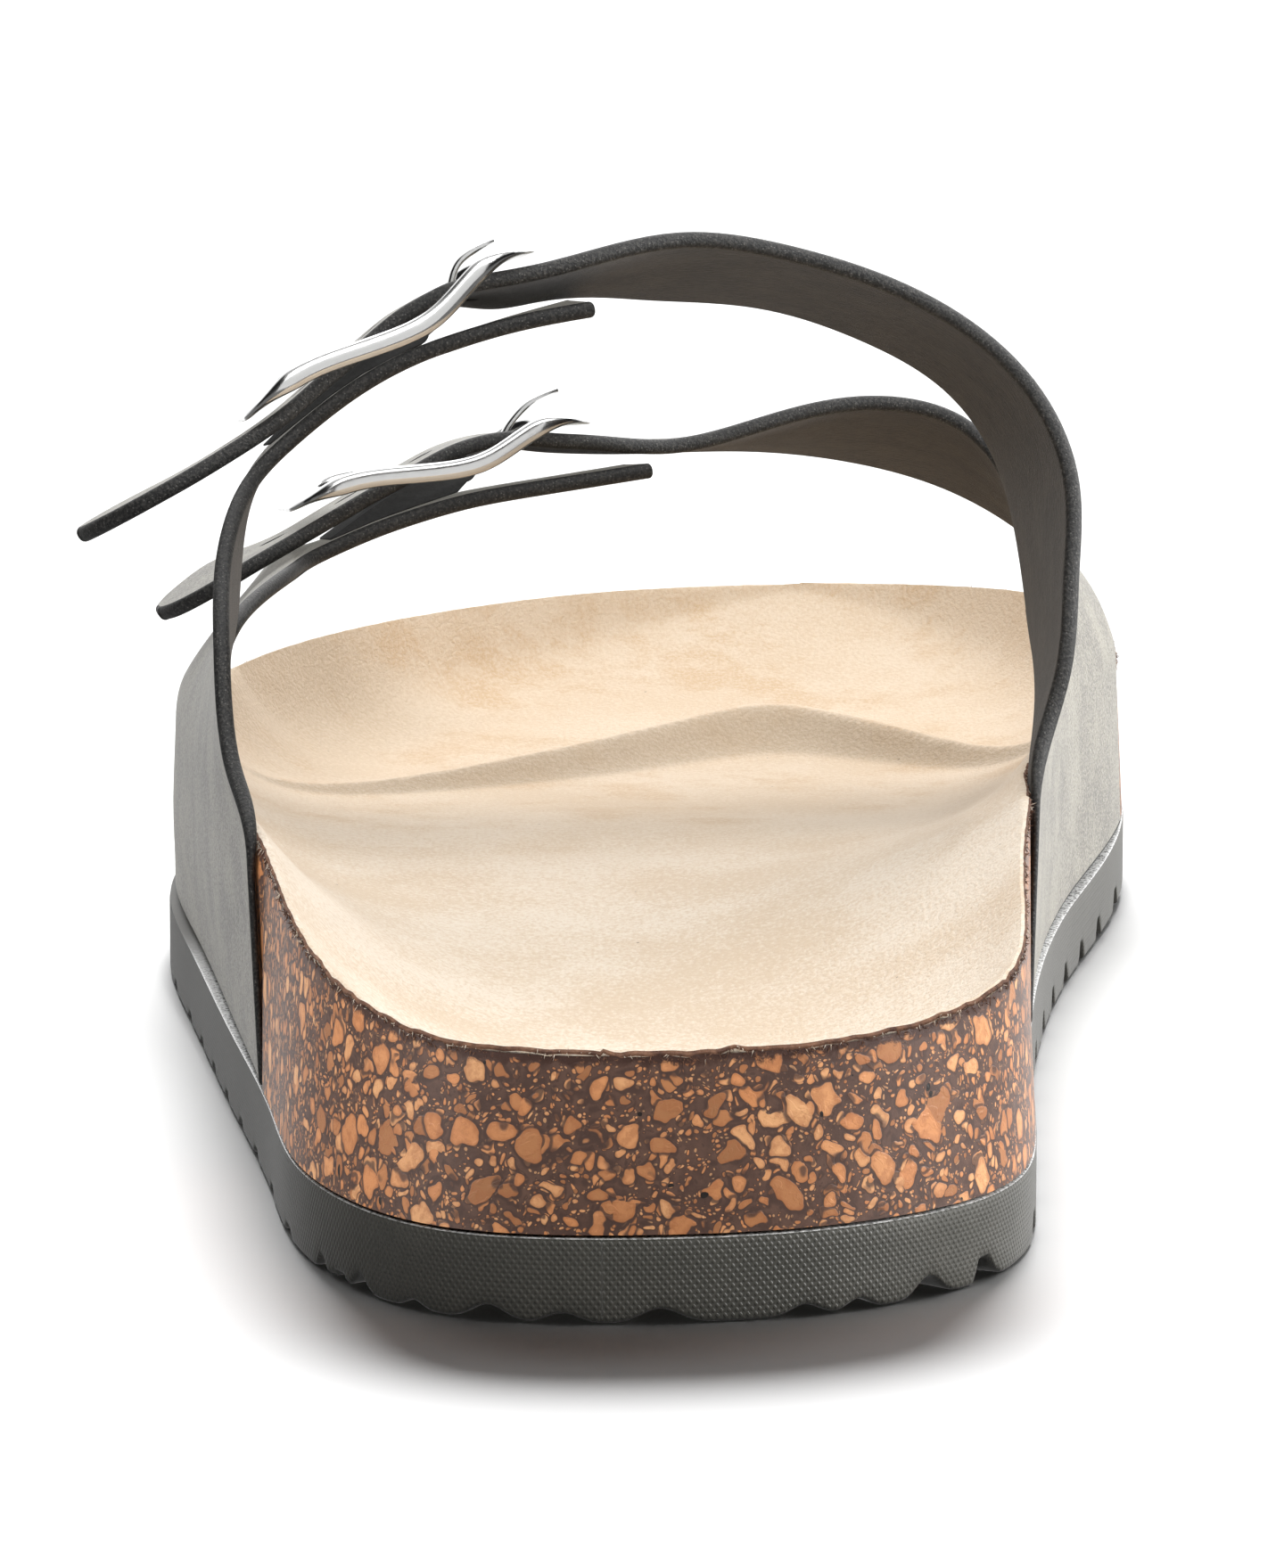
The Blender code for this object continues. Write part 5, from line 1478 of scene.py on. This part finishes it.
def makeProng(spot):
    looks = buckleLooks
    thick, width = looks["prongThick"], looks["prongWidth"]
    radius = looks["barRadius"] + looks["barGap"] + thick / 2.0
    path = roundBar(radius, np.radians(np.linspace(*looks["prongCurl"], 40)))
    rest = smoothThrough([path[-1], *looks["prongPath"], *looks["prongEnd"][spot]], 10)[1:]
    path = np.vstack([path, rest])
    run = np.gradient(path, axis=0)
    run /= np.linalg.norm(run, axis=1, keepdims=True)
    sides, count = 16, len(path)
    wide, tall = softSection(sides, looks["prongSquare"])
    far = chordKnots(path)
    left = (far[-1] - far) / looks["prongTip"]
    blunt, grows = looks["prongTipSlim"]
    slim = np.where(left < 1.0, blunt + grows * np.sqrt(np.maximum(0.0, left)), 1.0)
    points = []
    for (x, z), (dx, dz), narrow in zip(path, run, slim):
        lift = tall * thick / 2.0 * narrow
        points.append(np.column_stack([x - dz * lift, wide * width / 2.0 * narrow, z + dx * lift]))
    faces = wallFaces(count, sides)
    faces += [tuple(range(sides)), tuple(range(sides * (count - 1), sides * count))]
    piece = addMesh("prong_" + spot, inShoe(spot, np.vstack(points)), faces, [chrome])
    dress(piece, "polished steel", "buckle_prong_" + spot)


def makeTab(spot):
    looks = buckleLooks
    at = looks["bar"][0]
    inner = looks["barRadius"] + looks["barGap"]
    outer = inner + looks["tabWall"]

    def block(name, outline, half, sharp=40.0):
        points = [(x, y, z) for y in (-half, half) for x, z in outline]
        return addMesh(name, inShoe(spot, points), tubeFaces(0, len(outline)), [tabLeather], sharp=sharp)

    half, notch = looks["tabWidth"] / 2.0, looks["tabNotch"] / 2.0
    fold = roundBar(outer, np.linspace(*np.radians(looks["tabTurn"]), 24))
    hole = roundBar(inner, np.linspace(0, fullTurn, 24, endpoint=False))
    tab = block("tab_" + spot, [*looks["tabFold"][spot], *fold, *looks["tabTail"][spot]], half, 35.0)
    back, reach = at - outer - looks["barGap"], 3.0 * outer
    box = [(back, -reach), (at + reach, -reach), (at + reach, reach), (back, reach)]
    cutters = [block("tab_hole", hole, 2 * half), block("tab_notch", box, notch)]
    addCuts(tab, cutters)
    soft = tab.modifiers.new("soft edges", "BEVEL")
    soft.width = looks["tabBevel"]
    soft.segments = 2
    soft.limit_method = "ANGLE"
    soft.angle_limit = math.radians(50.0)
    applyModifiers(tab, cutters)
    dress(tab, "tab", "buckle_tab_" + spot)


for spot in buckles:
    makeFrame(spot)
    makeProng(spot)
    makeTab(spot)


# Stage: pale floor, soft light and the camera behind the heel

stageLooks = {
    "floor": 6.0,
    "floorColour": (0.92, 0.92, 0.92, 1.0),
    "brightSky": 1.6,
    "dimSky": 0.015,
    "topSky": 0.01,
    "lowSky": 0.22,
    "glowAt": (0.15, 0.93, 0.33),
    "glowSpan": (0.5, 0.97),
    "topSpan": (0.5, 1.0),
    "lowSpan": (0.05, -0.3),
    "mainFrom": (0.01, 0.77, 0.64),
    "mainSpread": 24.0,
    "mainPower": 6.0,
    "soles": ("outsole", "cork", "insole"),
    "boxAim": (0.0, 100.0, 20.0),
    "boxes": {
        "toe box": ((1.6, 1.2), 12.0, (250.0, 950.0, 760.0), ("",)),
        "heel box": ((1.1, 0.8), 8.0, (40.0, -430.0, 740.0), ("",)),
        "top box": ((2.0, 2.0), 8.0, (60.0, 100.0, 1000.0), ("",)),
        "inner box": ((0.8, 0.6), 12.0, (750.0, 60.0, 330.0), ("outsole", "cork", "medial")),
        "outer box": ((0.8, 0.6), 6.0, (-750.0, -100.0, 330.0), ("cork",)),
        "buckle card": ((0.9, 0.8), 2.4, (-60.0, -800.0, 190.0), ("frame", "prong")),
    },
    "softShade": ("toe box", "heel box", "top box"),
    "lens": 9150.0 / 1759.0 * 36.0,  # in pixels of the photo, over its height, on a 36 mm sensor
    "sensor": 36.0,
    "clip": (0.01, 50.0),
    "camera": (-2.0, -712.1, 172.2),
    "tilt": 9.8,
}


def collect(name, pieces):
    group = bpy.data.collections.new(name)
    bpy.context.scene.collection.children.link(group)
    for piece in pieces:
        group.objects.link(piece)
    return group


# A light that comes from the given direction and reaches only the listed objects
def addLamp(light, power, comesFrom, pieces):
    light.energy = power
    lamp = bpy.data.objects.new(light.name, light)
    lamp.rotation_euler = Vector(comesFrom).to_track_quat("Z", "Y").to_euler()
    bpy.context.scene.collection.objects.link(lamp)
    lamp.light_linking.receiver_collection = collect("lit by " + light.name, pieces)
    return lamp


def makeStage():
    looks = stageLooks
    sockets = {"Roughness": 0.9, "Base Color": looks["floorColour"], "Specular IOR Level": 0.0}
    material = newMaterial("floor", sockets)[0]
    half = looks["floor"] / 2.0
    mesh = bpy.data.meshes.new("floor")
    corners = [(-half, -half, 0.0), (half, -half, 0.0), (half, half, 0.0), (-half, half, 0.0)]
    mesh.from_pydata(corners, [], [(0, 1, 2, 3)])
    mesh.materials.append(material)
    floor = bpy.data.objects.new("floor", mesh)
    bpy.context.scene.collection.objects.link(floor)
    floor.visible_glossy = False

    world = bpy.data.worlds.new("studio")
    bpy.context.scene.world = world
    world.use_nodes = True
    tree = world.node_tree
    back = tree.nodes["Background"]
    back.inputs["Color"].default_value = (1.0, 1.0, 1.0, 1.0)
    way = addNode(tree, "ShaderNodeTexCoord").outputs["Generated"]
    up = vectorParts(tree, way)[2]
    towards = {0: way, 1: looks["glowAt"]}
    ahead = addNode(tree, "ShaderNodeVectorMath", towards, operation="DOT_PRODUCT").outputs["Value"]
    glow = rangeNode(tree, ahead, *looks["glowSpan"], looks["dimSky"], looks["brightSky"])
    above = rangeNode(tree, up, *looks["topSpan"], 0.0, looks["topSky"])
    below = rangeNode(tree, up, *looks["lowSpan"], 0.0, looks["lowSky"])
    sky = mathNode(tree, "ADD", mathNode(tree, "ADD", glow, above), below)
    tree.links.new(sky, back.inputs["Strength"])

    sun = bpy.data.lights.new("floor light", "SUN")
    sun.angle = math.radians(looks["mainSpread"])
    lamp = addLamp(sun, looks["mainPower"], looks["mainFrom"], [floor])
    # the straps throw no hard shade: only the sole shades the floor and the insole
    soles = collect("shade", [piece for piece in dressed if piece.name.startswith(looks["soles"])])
    lamp.light_linking.blocker_collection = soles
    # soft boxes: size, power, place, and what they light
    for name, (size, power, place, share) in looks["boxes"].items():
        box = bpy.data.lights.new(name, "AREA")
        box.shape = "RECTANGLE"
        box.size, box.size_y = size
        lit = [piece for piece in dressed if piece.name.startswith(share)]
        lamp = addLamp(box, power, np.array(place) - looks["boxAim"], lit)
        lamp.location = (np.array(place) + heelInRow) * mm
        if name in looks["softShade"]:
            lamp.light_linking.blocker_collection = soles

    camera = bpy.data.cameras.new("camera")
    camera.sensor_fit = "VERTICAL"
    camera.sensor_height = looks["sensor"]
    camera.lens = looks["lens"]
    camera.clip_start, camera.clip_end = looks["clip"]
    eye = bpy.data.objects.new("camera", camera)
    eye.location = (np.array(looks["camera"]) + heelInRow) * mm
    eye.rotation_euler = (math.radians(90.0 - looks["tilt"]), 0.0, 0.0)
    bpy.context.scene.collection.objects.link(eye)
    bpy.context.scene.camera = eye
    bpy.context.scene.view_settings.view_transform = "Standard"
    print("stage and camera ready")


makeStage()
